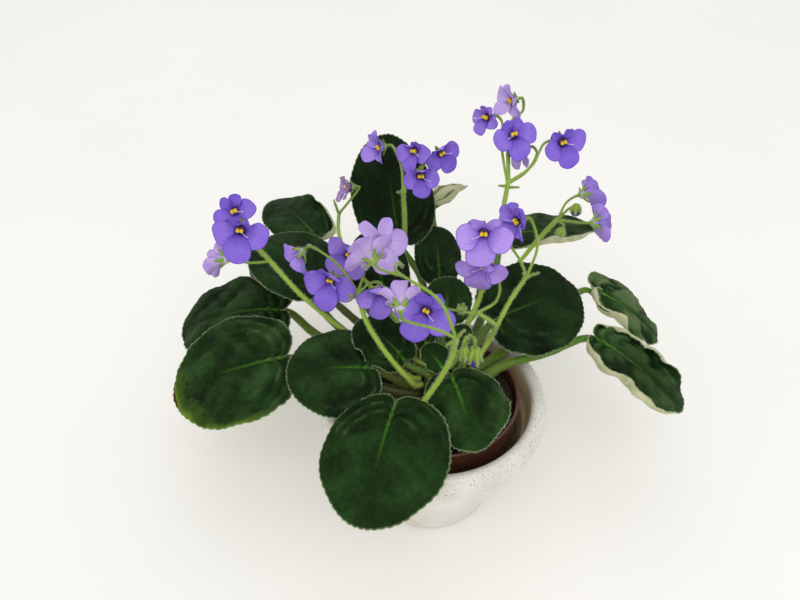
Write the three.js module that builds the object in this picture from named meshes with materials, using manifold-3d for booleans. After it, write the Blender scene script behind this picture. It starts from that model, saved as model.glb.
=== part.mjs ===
// A potted african violet: a plastic nursery pot of soil standing in a white
// ceramic outer pot, with the plant's crown, leaves, flower stalks and flowers.
// Millimetres, +Z up, origin at the centre of the outer pot's flat base.
import * as THREE from 'three';
import { mergeVertices } from 'three/addons/utils/BufferGeometryUtils.js';
import Module from 'manifold-3d';

// Outer pot: speckled white ceramic with a thick rolled lip
const OUTER_HEIGHT = 84;
const OUTER_BASE_RADIUS = 37.5;
const OUTER_LIP_RADIUS = 65;
const OUTER_MOUTH_RADIUS = 55.6;
const OUTER_NECK_RADIUS = 57.6;
const OUTER_FLOOR = 5;

// Nursery pot: thin plastic, standing loose and a little off centre in the outer pot
const NURSERY_CENTRE = [3, -1];
const NURSERY_TOP = 84.5;
const NURSERY_RIM_RADIUS = 46;
const NURSERY_BASE_RADIUS = 27;
const NURSERY_STEP = 60;
const NURSERY_STEP_RADIUS = 42;
const NURSERY_COLLAR_RADIUS = 44.4;
const NURSERY_WALL = 1.2;
const SEAT_GAP = 0.3;

// Soil and crown
const SOIL_TOP = 79;
const SOIL_HEAP_RADIUS = 30;
const CROWN_RADIUS = 9.6;
const CROWN_TOP = 96;
const CROWN_FOOT = 66;
const CROWN_TOP_RING = 5;

// Leaves and flowers. A leaf's arch, cup, curl and wave are the heights its blade bends by, its lean is the share
// by which its left half is the wider one.
const LEAF_THICKNESS = 1.3;
const LEAF_EDGE_THICKNESS = 0.8;
const LEAF_HEART = 0.45;
const LEAF_RINGS = [0.5, 0.84];
const LEAF_NOTCH = { halfAngle: 0.3, depth: 0.25, reach: 0.72 };
const LEAF_WAVES = { count: 5, shift: 2 };
const LEAF_CURL = { start: 0.15, span: 0.7 };
const LEAF_HABIT = {
  arch: 4, cup: -2, curlLeft: 0, curlRight: 0, wave: 0.8, roll: 0, point: 0.12, lobe: 0.13, lean: 0, teeth: 13,
  via: [],
};
const TOOTH_DEPTH = 0.9;
const PETIOLE_RADIUS = 2.1;
const PETIOLE_END = [{ share: -0.04, drop: 1.6 }, { share: 0.12, drop: 1.3 }];
const YOUNG_STEM = { radius: 1.2, bend: 0.6, lift: 1.5, reach: 0.15 };
const PETAL_THICKNESS = 0.7;
const UPPER_PETAL = { length: 11.5, width: 8.8 };
const SIDE_PETAL = { length: 14.5, width: 13 };
const LOWER_PETAL = { length: 16.5, width: 14 };
const PETAL_DISH = 0.08;
const PETAL_EDGE = [[0.5, -0.35], [0.8, -0.47], [1, 0], [0.8, 0.47], [0.5, 0.35]];
const PETAL_MIDDLE = 0.58;
const NOD_START = 2.5;
const NOD_SPAN = 4;
const THROAT_RADIUS = 3;
const THROAT_DEPTH = 2.1;
const ANTHER = { size: [1.25, 1.2, 1.8], apart: 1.05, drop: 0.2, rise: 1.6 };
const CALYX_DROP = 2.7;
const CALYX_DEPTH = 1.7;
const SEPAL_TIP = { radius: 5, rise: 0.5 };
const SEPAL_NOTCH = { radius: 1.5, rise: -0.25 };
const STALK_RADIUS = 1.6;
const BRANCH_SHARE = 0.85;
const ROOT_GAP = 0.5;
const ROOT_LEAD = 5;
const PEDICEL_RADIUS = 0.85;
const PEDICEL_LEAD = 4;
const PEDICEL_SINK = 0.9;

const wasm = await Module();
wasm.setup();

const plant = new THREE.Group();

const FINISH = {
  ceramic: { color: '#e9e7e0', roughness: 0.35, metalness: 0 },
  plastic: { color: '#8a4436', roughness: 0.55, metalness: 0 },
  soil: { color: '#1d1713', roughness: 1, metalness: 0 },
  leaf: { color: '#1d4a22', roughness: 0.75, metalness: 0 },
  crown: { color: '#3d6a2a', roughness: 0.8, metalness: 0 },
  stalk: { color: '#8fb242', roughness: 0.7, metalness: 0 },
  petal: { color: '#7d5fd0', roughness: 0.6, metalness: 0 },
  palePetal: { color: '#b9a3e2', roughness: 0.6, metalness: 0 },
};

function addPiece(name, geometry, finish) {
  const mesh = new THREE.Mesh(geometry, new THREE.MeshStandardMaterial(FINISH[finish]));
  mesh.name = name;
  plant.add(mesh);
  return mesh;
}

// Turns a closed geometry into a solid that can be joined to others
function toSolid(geometry) {
  const bare = geometry.clone();
  bare.deleteAttribute('normal');
  bare.deleteAttribute('uv');
  const merged = mergeVertices(bare, 1e-4);
  const vertProperties = new Float32Array(merged.attributes.position.array);
  const triVerts = new Uint32Array(merged.index.array);
  return new wasm.Manifold(new wasm.Mesh({ numProp: 3, vertProperties, triVerts }));
}

function toGeometry(solid) {
  const mesh = solid.getMesh();
  const geometry = new THREE.BufferGeometry();
  geometry.setAttribute('position', new THREE.BufferAttribute(mesh.vertProperties, 3));
  geometry.setIndex(new THREE.BufferAttribute(mesh.triVerts, 1));
  return geometry;
}

function joinAll(geometries) {
  const solids = geometries.map(toSolid);
  return toGeometry(solids.reduce((sum, solid) => sum.add(solid)));
}

// Points given as [x, y, z]
const point = ([x, y, z]) => new THREE.Vector3(x, y, z);

function shellFrom(vertices, triangles) {
  const geometry = new THREE.BufferGeometry();
  geometry.setAttribute('position', new THREE.Float32BufferAttribute(vertices, 3));
  geometry.setIndex(triangles);
  return geometry;
}

// A solid of revolution about +Z: the profile is closed or starts and ends on the axis
function turned(profile, segments, centre = [0, 0]) {
  const points = profile.map(([radius, z]) => new THREE.Vector2(radius, z));
  const geometry = new THREE.LatheGeometry(points, segments);
  geometry.rotateX(Math.PI / 2);
  geometry.translate(centre[0], centre[1], 0);
  return geometry;
}

// A round stem along a smooth curve through the points
function stem(points, radius, sides) {
  const curve = new THREE.CatmullRomCurve3(points, false, 'centripetal');
  const section = new THREE.Shape();
  for (let i = 0; i < sides; i += 1) {
    const turn = (i / sides) * Math.PI * 2;
    const x = Math.cos(turn) * radius;
    const y = Math.sin(turn) * radius;
    if (i === 0) section.moveTo(x, y);
    else section.lineTo(x, y);
  }
  const steps = Math.max(2, points.length - 1);
  return new THREE.ExtrudeGeometry(section, { steps, extrudePath: curve, bevelEnabled: false });
}

// A blade between two faces split into triangles alike: rings of points from a centre to the
// edge, each as {top, bottom} in the blade's own frame. Each ring has as many points as the
// one inside it, or twice as many.
function bladeFrom(centre, rings) {
  const vertices = [];
  const triangles = [];
  const put = (p) => {
    vertices.push(p[0], p[1], p[2]);
    return vertices.length / 3 - 1;
  };
  const faces = ['top', 'bottom'].map((side) => ({
    centre: put(centre[side]),
    rings: rings.map((ring) => ring.map((spot) => put(spot[side]))),
  }));
  faces.forEach((face, which) => {
    const tri = (a, b, c) => triangles.push(...(which === 0 ? [a, b, c] : [a, c, b]));
    const inner = face.rings[0];
    inner.forEach((a, i) => tri(face.centre, a, inner[(i + 1) % inner.length]));
    for (let r = 1; r < face.rings.length; r += 1) {
      const near = face.rings[r - 1];
      const far = face.rings[r];
      const double = far.length === near.length * 2;
      near.forEach((a, i) => {
        const b = near[(i + 1) % near.length];
        const k = double ? i * 2 : i;
        const c = far[k];
        const d = far[(k + 1) % far.length];
        tri(a, c, d);
        if (double) {
          const e = far[(k + 2) % far.length];
          tri(a, d, b);
          tri(b, d, e);
        } else {
          tri(a, d, b);
        }
      });
    }
  });
  const topEdge = faces[0].rings.at(-1);
  const bottomEdge = faces[1].rings.at(-1);
  topEdge.forEach((a, i) => {
    const next = (i + 1) % topEdge.length;
    triangles.push(a, bottomEdge[i], bottomEdge[next]);
    triangles.push(a, bottomEdge[next], topEdge[next]);
  });
  return shellFrom(vertices, triangles);
}

// The frame of a leaf: x from the joint to the tip, z up from the blade, rolled about x
function leafFrame(joint, tip, roll) {
  const x = tip.clone().sub(joint).normalize();
  const y = new THREE.Vector3(0, 0, 1).cross(x).normalize();
  const z = x.clone().cross(y);
  const turn = new THREE.Quaternion().setFromAxisAngle(x, THREE.MathUtils.degToRad(roll));
  y.applyQuaternion(turn);
  z.applyQuaternion(turn);
  return new THREE.Matrix4().makeBasis(x, y, z).setPosition(joint);
}

// Height of the blade above its chord at u (0 at the joint, 1 at the tip) and v (-1 to 1)
function leafHeight(leaf, u, v) {
  const along = THREE.MathUtils.clamp(u, 0, 1);
  const side = Math.abs(v);
  const curl = v > 0 ? leaf.curlLeft : leaf.curlRight;
  const arch = leaf.arch * 4 * along * (1 - along);
  const rolled = curl * side ** 4 * Math.sin(Math.PI * (LEAF_CURL.start + LEAF_CURL.span * along));
  const phase = along * Math.PI * LEAF_WAVES.count + (v > 0 ? 0 : LEAF_WAVES.shift);
  return arch + leaf.cup * side ** 2 + rolled + leaf.wave * Math.sin(phase) * side ** 3;
}

// The outline of a leaf as a polar curve round its middle: heart-shaped at the joint
function leafOutline(leaf, length, turn) {
  const c = Math.cos(turn);
  const reach = c > 0 ? 1 - LEAF_HEART : LEAF_HEART + leaf.lobe;
  const open = THREE.MathUtils.smoothstep(Math.abs(turn - Math.PI), 0, LEAF_NOTCH.halfAngle);
  const back = THREE.MathUtils.lerp(LEAF_NOTCH.depth, 1, open);
  const x = LEAF_HEART + reach * c * (c < 0 ? THREE.MathUtils.lerp(LEAF_NOTCH.reach, 1, back) : 1);
  const shoulder = Math.sin(turn) * (1 - leaf.point * Math.max(0, c) ** 2);
  const half = (leaf.width / 2) * (turn < Math.PI ? 1 + leaf.lean : 1 - leaf.lean);
  return [x * length, shoulder * half];
}

function leafBlade(leaf, joint, tip) {
  const length = joint.distanceTo(tip);
  const frame = leafFrame(joint, tip, leaf.roll);
  const heart = LEAF_HEART * length;
  const place = (x, y, thickness) => {
    const height = leafHeight(leaf, x / length, (y * 2) / leaf.width);
    const at = (lift) => new THREE.Vector3(x, y, height + lift).applyMatrix4(frame).toArray();
    return { top: at(thickness / 2), bottom: at(-thickness / 2) };
  };
  const ring = (share, count, thickness, tooth) => Array.from({ length: count }, (_, i) => {
    const turn = (i / count) * Math.PI * 2;
    const [x, y] = leafOutline(leaf, length, turn);
    const bite = tooth && i % 2 === 1 ? 1 - (TOOTH_DEPTH * 2) / length : 1;
    return place(heart + (x - heart) * share * bite, y * share * bite, thickness);
  });
  const half = leaf.teeth;
  return bladeFrom(place(heart, 0, LEAF_THICKNESS), [
    ...LEAF_RINGS.map((share) => ring(share, half, LEAF_THICKNESS, false)),
    ring(1, half * 2, LEAF_EDGE_THICKNESS, true),
  ]);
}

// Where a stem leaves the crown, by azimuth and height: its first point and the one after it
function crownSide(azimuth, z) {
  const turn = THREE.MathUtils.degToRad(azimuth);
  const at = (radius, height) => new THREE.Vector3(
    NURSERY_CENTRE[0] + Math.cos(turn) * radius,
    NURSERY_CENTRE[1] + Math.sin(turn) * radius,
    height,
  );
  if (z > CROWN_TOP) return [at(CROWN_TOP_RING, z), at(CROWN_TOP_RING + 0.1, z + 2)];
  return [at(CROWN_RADIUS + ROOT_GAP, z), at(CROWN_RADIUS + ROOT_LEAD, z + 0.4)];
}

function addLeaf(name, spec) {
  const leaf = { ...LEAF_HABIT, ...spec };
  const joint = point(leaf.joint);
  const tip = point(leaf.tip);
  const length = joint.distanceTo(tip);
  const frame = leafFrame(joint, tip, leaf.roll);
  const under = ({ share, drop }) => new THREE.Vector3(share * length, 0, leafHeight(leaf, share, 0) - drop)
    .applyMatrix4(frame);
  const path = [...crownSide(...leaf.root), ...leaf.via.map(point), ...PETIOLE_END.map(under)];
  const petiole = stem(path, leaf.petiole ?? PETIOLE_RADIUS, 5);
  addPiece(name, joinAll([leafBlade(leaf, joint, tip), petiole]), 'leaf');
}

// Outer pot
const LIP_MID = (OUTER_LIP_RADIUS + OUTER_MOUTH_RADIUS) / 2;
addPiece('outer_pot', turned([
  [0, 0],
  [OUTER_BASE_RADIUS, 0],
  [OUTER_BASE_RADIUS + 0.6, 1],
  [OUTER_BASE_RADIUS + 1.6, 7.6],
  [OUTER_BASE_RADIUS + 1.2, 8.4],
  [OUTER_BASE_RADIUS + 2, 9.4],
  [OUTER_NECK_RADIUS - 4, 46],
  [OUTER_NECK_RADIUS, 64],
  [OUTER_LIP_RADIUS - 2.4, 67],
  [OUTER_LIP_RADIUS - 0.4, 71],
  [OUTER_LIP_RADIUS, 75],
  [OUTER_LIP_RADIUS - 0.9, 79.5],
  [OUTER_LIP_RADIUS - 3, 82.8],
  [LIP_MID, OUTER_HEIGHT],
  [OUTER_MOUTH_RADIUS + 1, OUTER_HEIGHT - 1.2],
  [OUTER_MOUTH_RADIUS, OUTER_HEIGHT - 3.5],
  [OUTER_MOUTH_RADIUS - 1.4, 66],
  [OUTER_MOUTH_RADIUS - 3.4, 63.5],
  [48, 44],
  [33, OUTER_FLOOR + 3],
  [31, OUTER_FLOOR],
  [0, OUTER_FLOOR],
], 32), 'ceramic');

// Nursery pot: rolled rim, straight collar, then a taper to the floor
const NURSERY_FOOT = OUTER_FLOOR + SEAT_GAP;
addPiece('nursery_pot', turned([
  [0, NURSERY_FOOT],
  [NURSERY_BASE_RADIUS, NURSERY_FOOT],
  [NURSERY_STEP_RADIUS, NURSERY_STEP],
  [NURSERY_COLLAR_RADIUS, NURSERY_STEP + 1],
  [NURSERY_RIM_RADIUS - 0.8, NURSERY_TOP - 3],
  [NURSERY_RIM_RADIUS, NURSERY_TOP - 2.4],
  [NURSERY_RIM_RADIUS, NURSERY_TOP - 0.6],
  [NURSERY_RIM_RADIUS - 0.6, NURSERY_TOP],
  [NURSERY_RIM_RADIUS - 2.2, NURSERY_TOP],
  [NURSERY_COLLAR_RADIUS - NURSERY_WALL, NURSERY_STEP + 1.8],
  [NURSERY_STEP_RADIUS - NURSERY_WALL, NURSERY_STEP + 0.8],
  [NURSERY_BASE_RADIUS - NURSERY_WALL, NURSERY_FOOT + NURSERY_WALL],
  [0, NURSERY_FOOT + NURSERY_WALL],
], 24, NURSERY_CENTRE), 'plastic');

// Soil: fills the nursery pot, heaped a little towards the crown, with a hole for its stem
const SOIL_FOOT = NURSERY_FOOT + NURSERY_WALL + SEAT_GAP;
addPiece('soil', turned([
  [0, SOIL_FOOT],
  [NURSERY_BASE_RADIUS - NURSERY_WALL - 0.4, SOIL_FOOT],
  [NURSERY_STEP_RADIUS - NURSERY_WALL - 0.6, NURSERY_STEP + 0.8],
  [NURSERY_COLLAR_RADIUS - NURSERY_WALL - 0.6, NURSERY_STEP + 2],
  [NURSERY_COLLAR_RADIUS - NURSERY_WALL - 0.2, SOIL_TOP - 1],
  [SOIL_HEAP_RADIUS, SOIL_TOP + 0.6],
  [CROWN_RADIUS + 4, SOIL_TOP + 1.6],
  [CROWN_RADIUS + SEAT_GAP, SOIL_TOP + 1],
  [CROWN_RADIUS + SEAT_GAP, CROWN_FOOT - SEAT_GAP],
  [0, CROWN_FOOT - SEAT_GAP],
], 24, NURSERY_CENTRE), 'soil');

// Crown with its youngest leaves
const heartLeaves = [
  { joint: [4, -1, 103], tip: [-6, 7, 112], width: 17, roll: -10, foot: [1, -1, 95] },
  { joint: [10, 15, 104], tip: [21, 22, 112], width: 14, roll: 10, foot: [6, 1, 95] },
  { joint: [-4, 15, 104], tip: [-10, 27, 114], width: 15, foot: [3, 2, 95] },
  { joint: [8, 37, 104], tip: [11, 60, 118], width: 30, foot: [5, 2, 95], arch: 3, cup: -1 },
];
const heartPieces = [turned([
  [0, CROWN_FOOT],
  [CROWN_RADIUS, CROWN_FOOT],
  [CROWN_RADIUS, CROWN_TOP - 2],
  [CROWN_RADIUS - 3, CROWN_TOP],
  [0, CROWN_TOP],
], 12, NURSERY_CENTRE)];
heartLeaves.forEach((young) => {
  const leaf = { ...LEAF_HABIT, arch: 1, cup: 1.5, wave: 0.3, teeth: 8, ...young };
  const joint = point(leaf.joint);
  const tip = point(leaf.tip);
  const foot = point(leaf.foot);
  const middle = foot.clone().lerp(joint, YOUNG_STEM.bend);
  middle.z += YOUNG_STEM.lift;
  heartPieces.push(leafBlade(leaf, joint, tip));
  heartPieces.push(stem([foot, middle, joint.clone().lerp(tip, YOUNG_STEM.reach)], YOUNG_STEM.radius, 5));
});
addPiece('crown', joinAll(heartPieces), 'crown');

// Grown leaves: joint of stalk and blade, tip, width, and how the blade bends.
// root is the azimuth round the crown and the height where the stalk leaves it.
const leaves = {
  leaf_front: { joint: [-21.6, -27.5, 102.5], tip: [-37, -93, 90], width: 65, root: [229, 83.5], roll: 4, lean: 0.08 },
  leaf_right_front: {
    joint: [10, -8.5, 101], tip: [20, -50, 92], width: 45, lean: 0.12, root: [310, 88.9], point: 0.3, lobe: 0.2,
    roll: 2, arch: 3,
  },
  leaf_left_front: {
    joint: [-34, -2, 103.5], tip: [-81, -6, 102], width: 57, root: [183, 88.9], arch: 3, cup: -4, roll: -11,
  },
  leaf_far_left: {
    joint: [-85, 12, 98], tip: [-150, 3, 78], width: 70, root: [190, 83.5], roll: -16, via: [[-50, 2, 91]],
  },
  leaf_left_upper: {
    joint: [-93, 57, 94], tip: [-160, 60, 72], width: 57, root: [158, 83.5], arch: 8, roll: -14,
    via: [[-44, 20, 88.5], [-72, 42, 89]],
  },
  leaf_back_left: {
    joint: [-74, 122, 99], tip: [-112, 175, 99], width: 47, root: [124, 83.5], curlRight: 6, via: [[-33, 52, 90]],
  },
  leaf_left_back: {
    joint: [-68, 62, 110], tip: [-107, 99, 118], width: 56, root: [150, 94], via: [[-45, 42, 98]],
  },
  leaf_under_left: {
    joint: [-81, 76, 100], tip: [-115, 104, 99], width: 38, root: [143, 88.9], teeth: 11, via: [[-57, 45, 91]],
  },
  leaf_tall_back: {
    joint: [-20, 104, 116], tip: [-30, 162, 159], width: 55, root: [106, 88.9], cup: 5, arch: -3,
    via: [[-2, 60, 92], [-6, 86, 98]],
  },
  leaf_back_small: { joint: [6, 74, 106], tip: [4, 120, 113], width: 30, root: [76, 94], teeth: 11 },
  leaf_back_centre: { joint: [-28, 52, 107], tip: [-38, 98, 125], width: 38, root: [122, 94] },
  leaf_right: { joint: [36, 32, 108], tip: [88, 52.5, 113], width: 64, root: [42, 88.9], roll: 14 },
  leaf_back_right: {
    joint: [54, 122, 103], tip: [117, 137, 98], width: 44, root: [60, 83.5], curlRight: 8,
    via: [[28, 44, 89], [45, 98, 96]],
  },
  leaf_far_back: {
    joint: [5, 131, 124], tip: [27, 156, 122], width: 22, root: [92, 83.5], curlRight: 6, teeth: 11,
    via: [[2, 60, 90], [5, 118, 103]],
  },
  leaf_far_right_upper: {
    joint: [100, 63, 106], tip: [143, 49, 77], width: 44, root: [28, 83.5], curlRight: 5,
    via: [[55, 36, 91], [80, 55, 98]],
  },
  leaf_far_right: {
    joint: [94, 22, 103], tip: [142, -7, 74], width: 46, root: [356, 83.5], curlLeft: 6, curlRight: 6,
    via: [[39, 12, 90], [66, 18, 95]],
  },
  leaf_young_left: {
    joint: [-17, 5, 103], tip: [-43, 29, 110], width: 34, root: [200, 96.6], petiole: 1.7, teeth: 11,
  },
};
Object.entries(leaves).forEach(([name, spec]) => addLeaf(name, spec));

// Flowers: place of the throat, the way the flower faces as [azimuth from the front, height],
// its turn about that line, its size, how far the petals lean forward and the upper pair more.
const blooms = {
  bloom_left_1: { at: [-111, 59, 166], face: [-8, 32], turn: 25, size: 0.85, cup: 12, nod: 15 },
  bloom_left_2: { at: [-101, 28, 175], face: [-5, 24], turn: -5, size: 1, cup: 15, nod: 40 },
  bloom_left_3: { at: [-117, 41, 146], face: [-115, -8], size: 0.85, cup: 35, finish: 'palePetal' },
  bloom_middle_1: { at: [-78, 58, 136], face: [-50, -28], size: 0.95, cup: 32, nod: 20 },
  bloom_middle_2: { at: [-58, 40, 132], face: [-22, 18], size: 1.05, cup: 20, nod: 50 },
  bloom_middle_3: { at: [-48, 58, 136], face: [-30, 15], turn: -40, size: 1, cup: 18, nod: 20 },
  bloom_middle_4: { at: [-30, 28, 134], face: [0, 0], size: 0.95, cup: 25, nod: 45 },
  bloom_front_1: { at: [-30, 51, 150], face: [5, 35], turn: 10, size: 1.05, cup: 12, finish: 'palePetal' },
  bloom_front_2: { at: [-33, 10, 170], face: [-150, 15], size: 0.95, cup: 30, finish: 'palePetal' },
  bloom_front_3: { at: [-19, -14, 160], face: [-170, 25], size: 0.8, cup: 40, finish: 'palePetal' },
  bloom_centre_1: { at: [23, 18, 180], face: [-8, 20], size: 1, cup: 15, nod: 25 },
  bloom_centre_2: { at: [26, 29, 151], face: [-5, -15], turn: -15, size: 1, cup: 15, nod: 10 },
  bloom_centre_3: { at: [42, 30, 179], face: [-75, 10], size: 0.8, cup: 15 },
  bloom_centre_4: { at: [-5, 5, 140], face: [-10, 33], turn: -20, size: 1.1, cup: 15 },
  bloom_back_1: { at: [-31, 128, 168], face: [-80, 0], size: 0.85, cup: 25 },
  bloom_back_2: { at: [-10, 107, 177], face: [-45, 25], size: 0.85, cup: 15 },
  bloom_back_3: { at: [6, 113, 172], face: [25, 25], turn: 20, size: 0.9, cup: 10 },
  bloom_back_4: { at: [-7, 87, 172], face: [5, 15], size: 0.95, cup: 20, nod: 45 },
  bloom_old: { at: [-50, 100, 156], face: [-70, 10], size: 0.7, cup: 25 },
  bloom_tall_1: { at: [47, 118, 204], face: [-60, 30], size: 0.8, cup: 20, finish: 'palePetal' },
  bloom_tall_2: { at: [32, 111, 197], face: [-50, 10], size: 0.65, cup: 20 },
  bloom_tall_3: { at: [45, 91, 196], face: [5, 45], turn: 15, size: 0.88, cup: 8 },
  bloom_tall_4: { at: [52, 94, 184], face: [-60, -10], size: 0.7, cup: 25, finish: 'palePetal' },
  bloom_tall_5: { at: [73, 90, 192], face: [15, 22], size: 1, cup: 18, nod: 15 },
  bloom_right_1: { at: [93, 99, 152], face: [80, 10], size: 0.95, cup: 30 },
  bloom_right_2: { at: [96, 74, 148], face: [50, 10], size: 0.95, cup: 22 },
};

// The frame of a flower: z out of its face, y towards its upper petals
function bloomFrame({ at, face, turn = 0 }) {
  const [azimuth, height] = face.map(THREE.MathUtils.degToRad);
  const z = new THREE.Vector3(
    Math.sin(azimuth) * Math.cos(height),
    -Math.cos(azimuth) * Math.cos(height),
    Math.sin(height),
  );
  const x = new THREE.Vector3(0, 0, 1).cross(z).normalize();
  const y = z.clone().cross(x);
  const roll = new THREE.Quaternion().setFromAxisAngle(z, THREE.MathUtils.degToRad(turn));
  x.applyQuaternion(roll);
  y.applyQuaternion(roll);
  return new THREE.Matrix4().makeBasis(x, y, z).setPosition(point(at));
}

// Bends a point of the flat flower: all petals rise by the cup, then the upper pair nods forward
function bendPetals([x, y, lift], cup, nod) {
  const radius = Math.hypot(x, y);
  const rise = THREE.MathUtils.degToRad(cup);
  const spread = radius > 0 ? (radius * Math.cos(rise) - lift * Math.sin(rise)) / radius : 0;
  const height = radius * Math.sin(rise) + lift * Math.cos(rise);
  const beyond = y * spread - NOD_START;
  if (beyond <= 0 || nod === 0) return [x * spread, y * spread, height];
  const full = THREE.MathUtils.degToRad(nod);
  const bendRadius = NOD_SPAN / full;
  const turn = full * Math.min(1, beyond / NOD_SPAN);
  const past = Math.max(0, beyond - NOD_SPAN);
  return [
    x * spread,
    NOD_START + (bendRadius - height) * Math.sin(turn) + past * Math.cos(turn),
    bendRadius - (bendRadius - height) * Math.cos(turn) + past * Math.sin(turn),
  ];
}

// A flower's five petals as one lobed sheet, each fanned from its own middle, joined at a throat
function corolla({ size, cup, nod = 0 }) {
  const petals = [
    { ...SIDE_PETAL, angle: -14 },
    { ...UPPER_PETAL, angle: 60 },
    { ...UPPER_PETAL, angle: 120 },
    { ...SIDE_PETAL, angle: 194 },
    { ...LOWER_PETAL, angle: 270 },
  ];
  const vertices = [];
  const triangles = [];
  [PETAL_THICKNESS / 2, -PETAL_THICKNESS / 2].forEach((half) => {
    const upper = half > 0;
    const put = (x, y, lift) => {
      vertices.push(...bendPetals([x, y, lift + half], cup, nod));
      return vertices.length / 3 - 1;
    };
    const tri = (a, b, c) => triangles.push(...(upper ? [a, b, c] : [a, c, b]));
    vertices.push(0, 0, upper ? 0 : -THROAT_DEPTH);
    const throat = vertices.length / 3 - 1;
    const notches = petals.map(({ angle }, i) => {
      const before = petals[(i + 4) % 5].angle - (i === 0 ? 360 : 0);
      const turn = THREE.MathUtils.degToRad((angle + before) / 2);
      return put(Math.cos(turn) * THROAT_RADIUS, Math.sin(turn) * THROAT_RADIUS, 0);
    });
    petals.forEach(({ length, width, angle }, i) => {
      const turn = THREE.MathUtils.degToRad(angle);
      const spot = ([along, across]) => {
        const x = along * length * size;
        const y = across * width * size;
        const dish = PETAL_DISH * length * (4 * across ** 2 - along ** 2);
        return put(x * Math.cos(turn) - y * Math.sin(turn), x * Math.sin(turn) + y * Math.cos(turn), dish);
      };
      const middle = spot([PETAL_MIDDLE, 0]);
      const rim = [throat, notches[i], ...PETAL_EDGE.map(spot), notches[(i + 1) % 5]];
      rim.forEach((a, k) => tri(middle, a, rim[(k + 1) % rim.length]));
    });
  });
  const lower = vertices.length / 6;
  petals.forEach((_, i) => {
    const first = 6 + i * (PETAL_EDGE.length + 1);
    const edge = [1 + i, ...PETAL_EDGE.map((__, k) => first + 1 + k), 1 + ((i + 1) % 5)];
    edge.slice(1).forEach((b, k) => {
      const a = edge[k];
      triangles.push(a, a + lower, b + lower, a, b + lower, b);
    });
  });
  return shellFrom(vertices, triangles);
}

function addBloom(name, spec) {
  const anthers = [-1, 1].map((side) => {
    const anther = new THREE.OctahedronGeometry(1);
    anther.scale(...ANTHER.size);
    anther.translate(side * ANTHER.apart, -ANTHER.drop, ANTHER.rise);
    return anther;
  });
  const frame = bloomFrame(spec);
  const pieces = [corolla(spec), ...anthers].map((piece) => piece.applyMatrix4(frame));
  addPiece(name, joinAll(pieces), spec.finish ?? 'petal');
}
Object.entries(blooms).forEach(([name, spec]) => addBloom(name, spec));

// Five pointed sepals behind a flower, in the flower's frame
function calyx(frame) {
  const vertices = [[0, 0, -CALYX_DROP], [0, 0, -CALYX_DROP - CALYX_DEPTH]];
  const triangles = [];
  for (let i = 0; i < 10; i += 1) {
    const turn = (i / 10) * Math.PI * 2;
    const { radius, rise } = i % 2 === 0 ? SEPAL_TIP : SEPAL_NOTCH;
    vertices.push([Math.cos(turn) * radius, Math.sin(turn) * radius, rise - CALYX_DROP]);
    const next = 2 + ((i + 1) % 10);
    triangles.push(0, 2 + i, next, 1, next, 2 + i);
  }
  return shellFrom(vertices.flat(), triangles).applyMatrix4(frame);
}

// A closed flower bud, hanging or standing along a line
function bud({ from, to, radius }) {
  const start = point(from);
  const end = point(to);
  const ball = new THREE.IcosahedronGeometry(1, 0);
  ball.scale(radius, radius, start.distanceTo(end) / 2);
  const line = end.clone().sub(start).normalize();
  ball.applyQuaternion(new THREE.Quaternion().setFromUnitVectors(new THREE.Vector3(0, 0, 1), line));
  const middle = start.clone().lerp(end, 0.5);
  ball.translate(middle.x, middle.y, middle.z);
  return ball;
}

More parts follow.
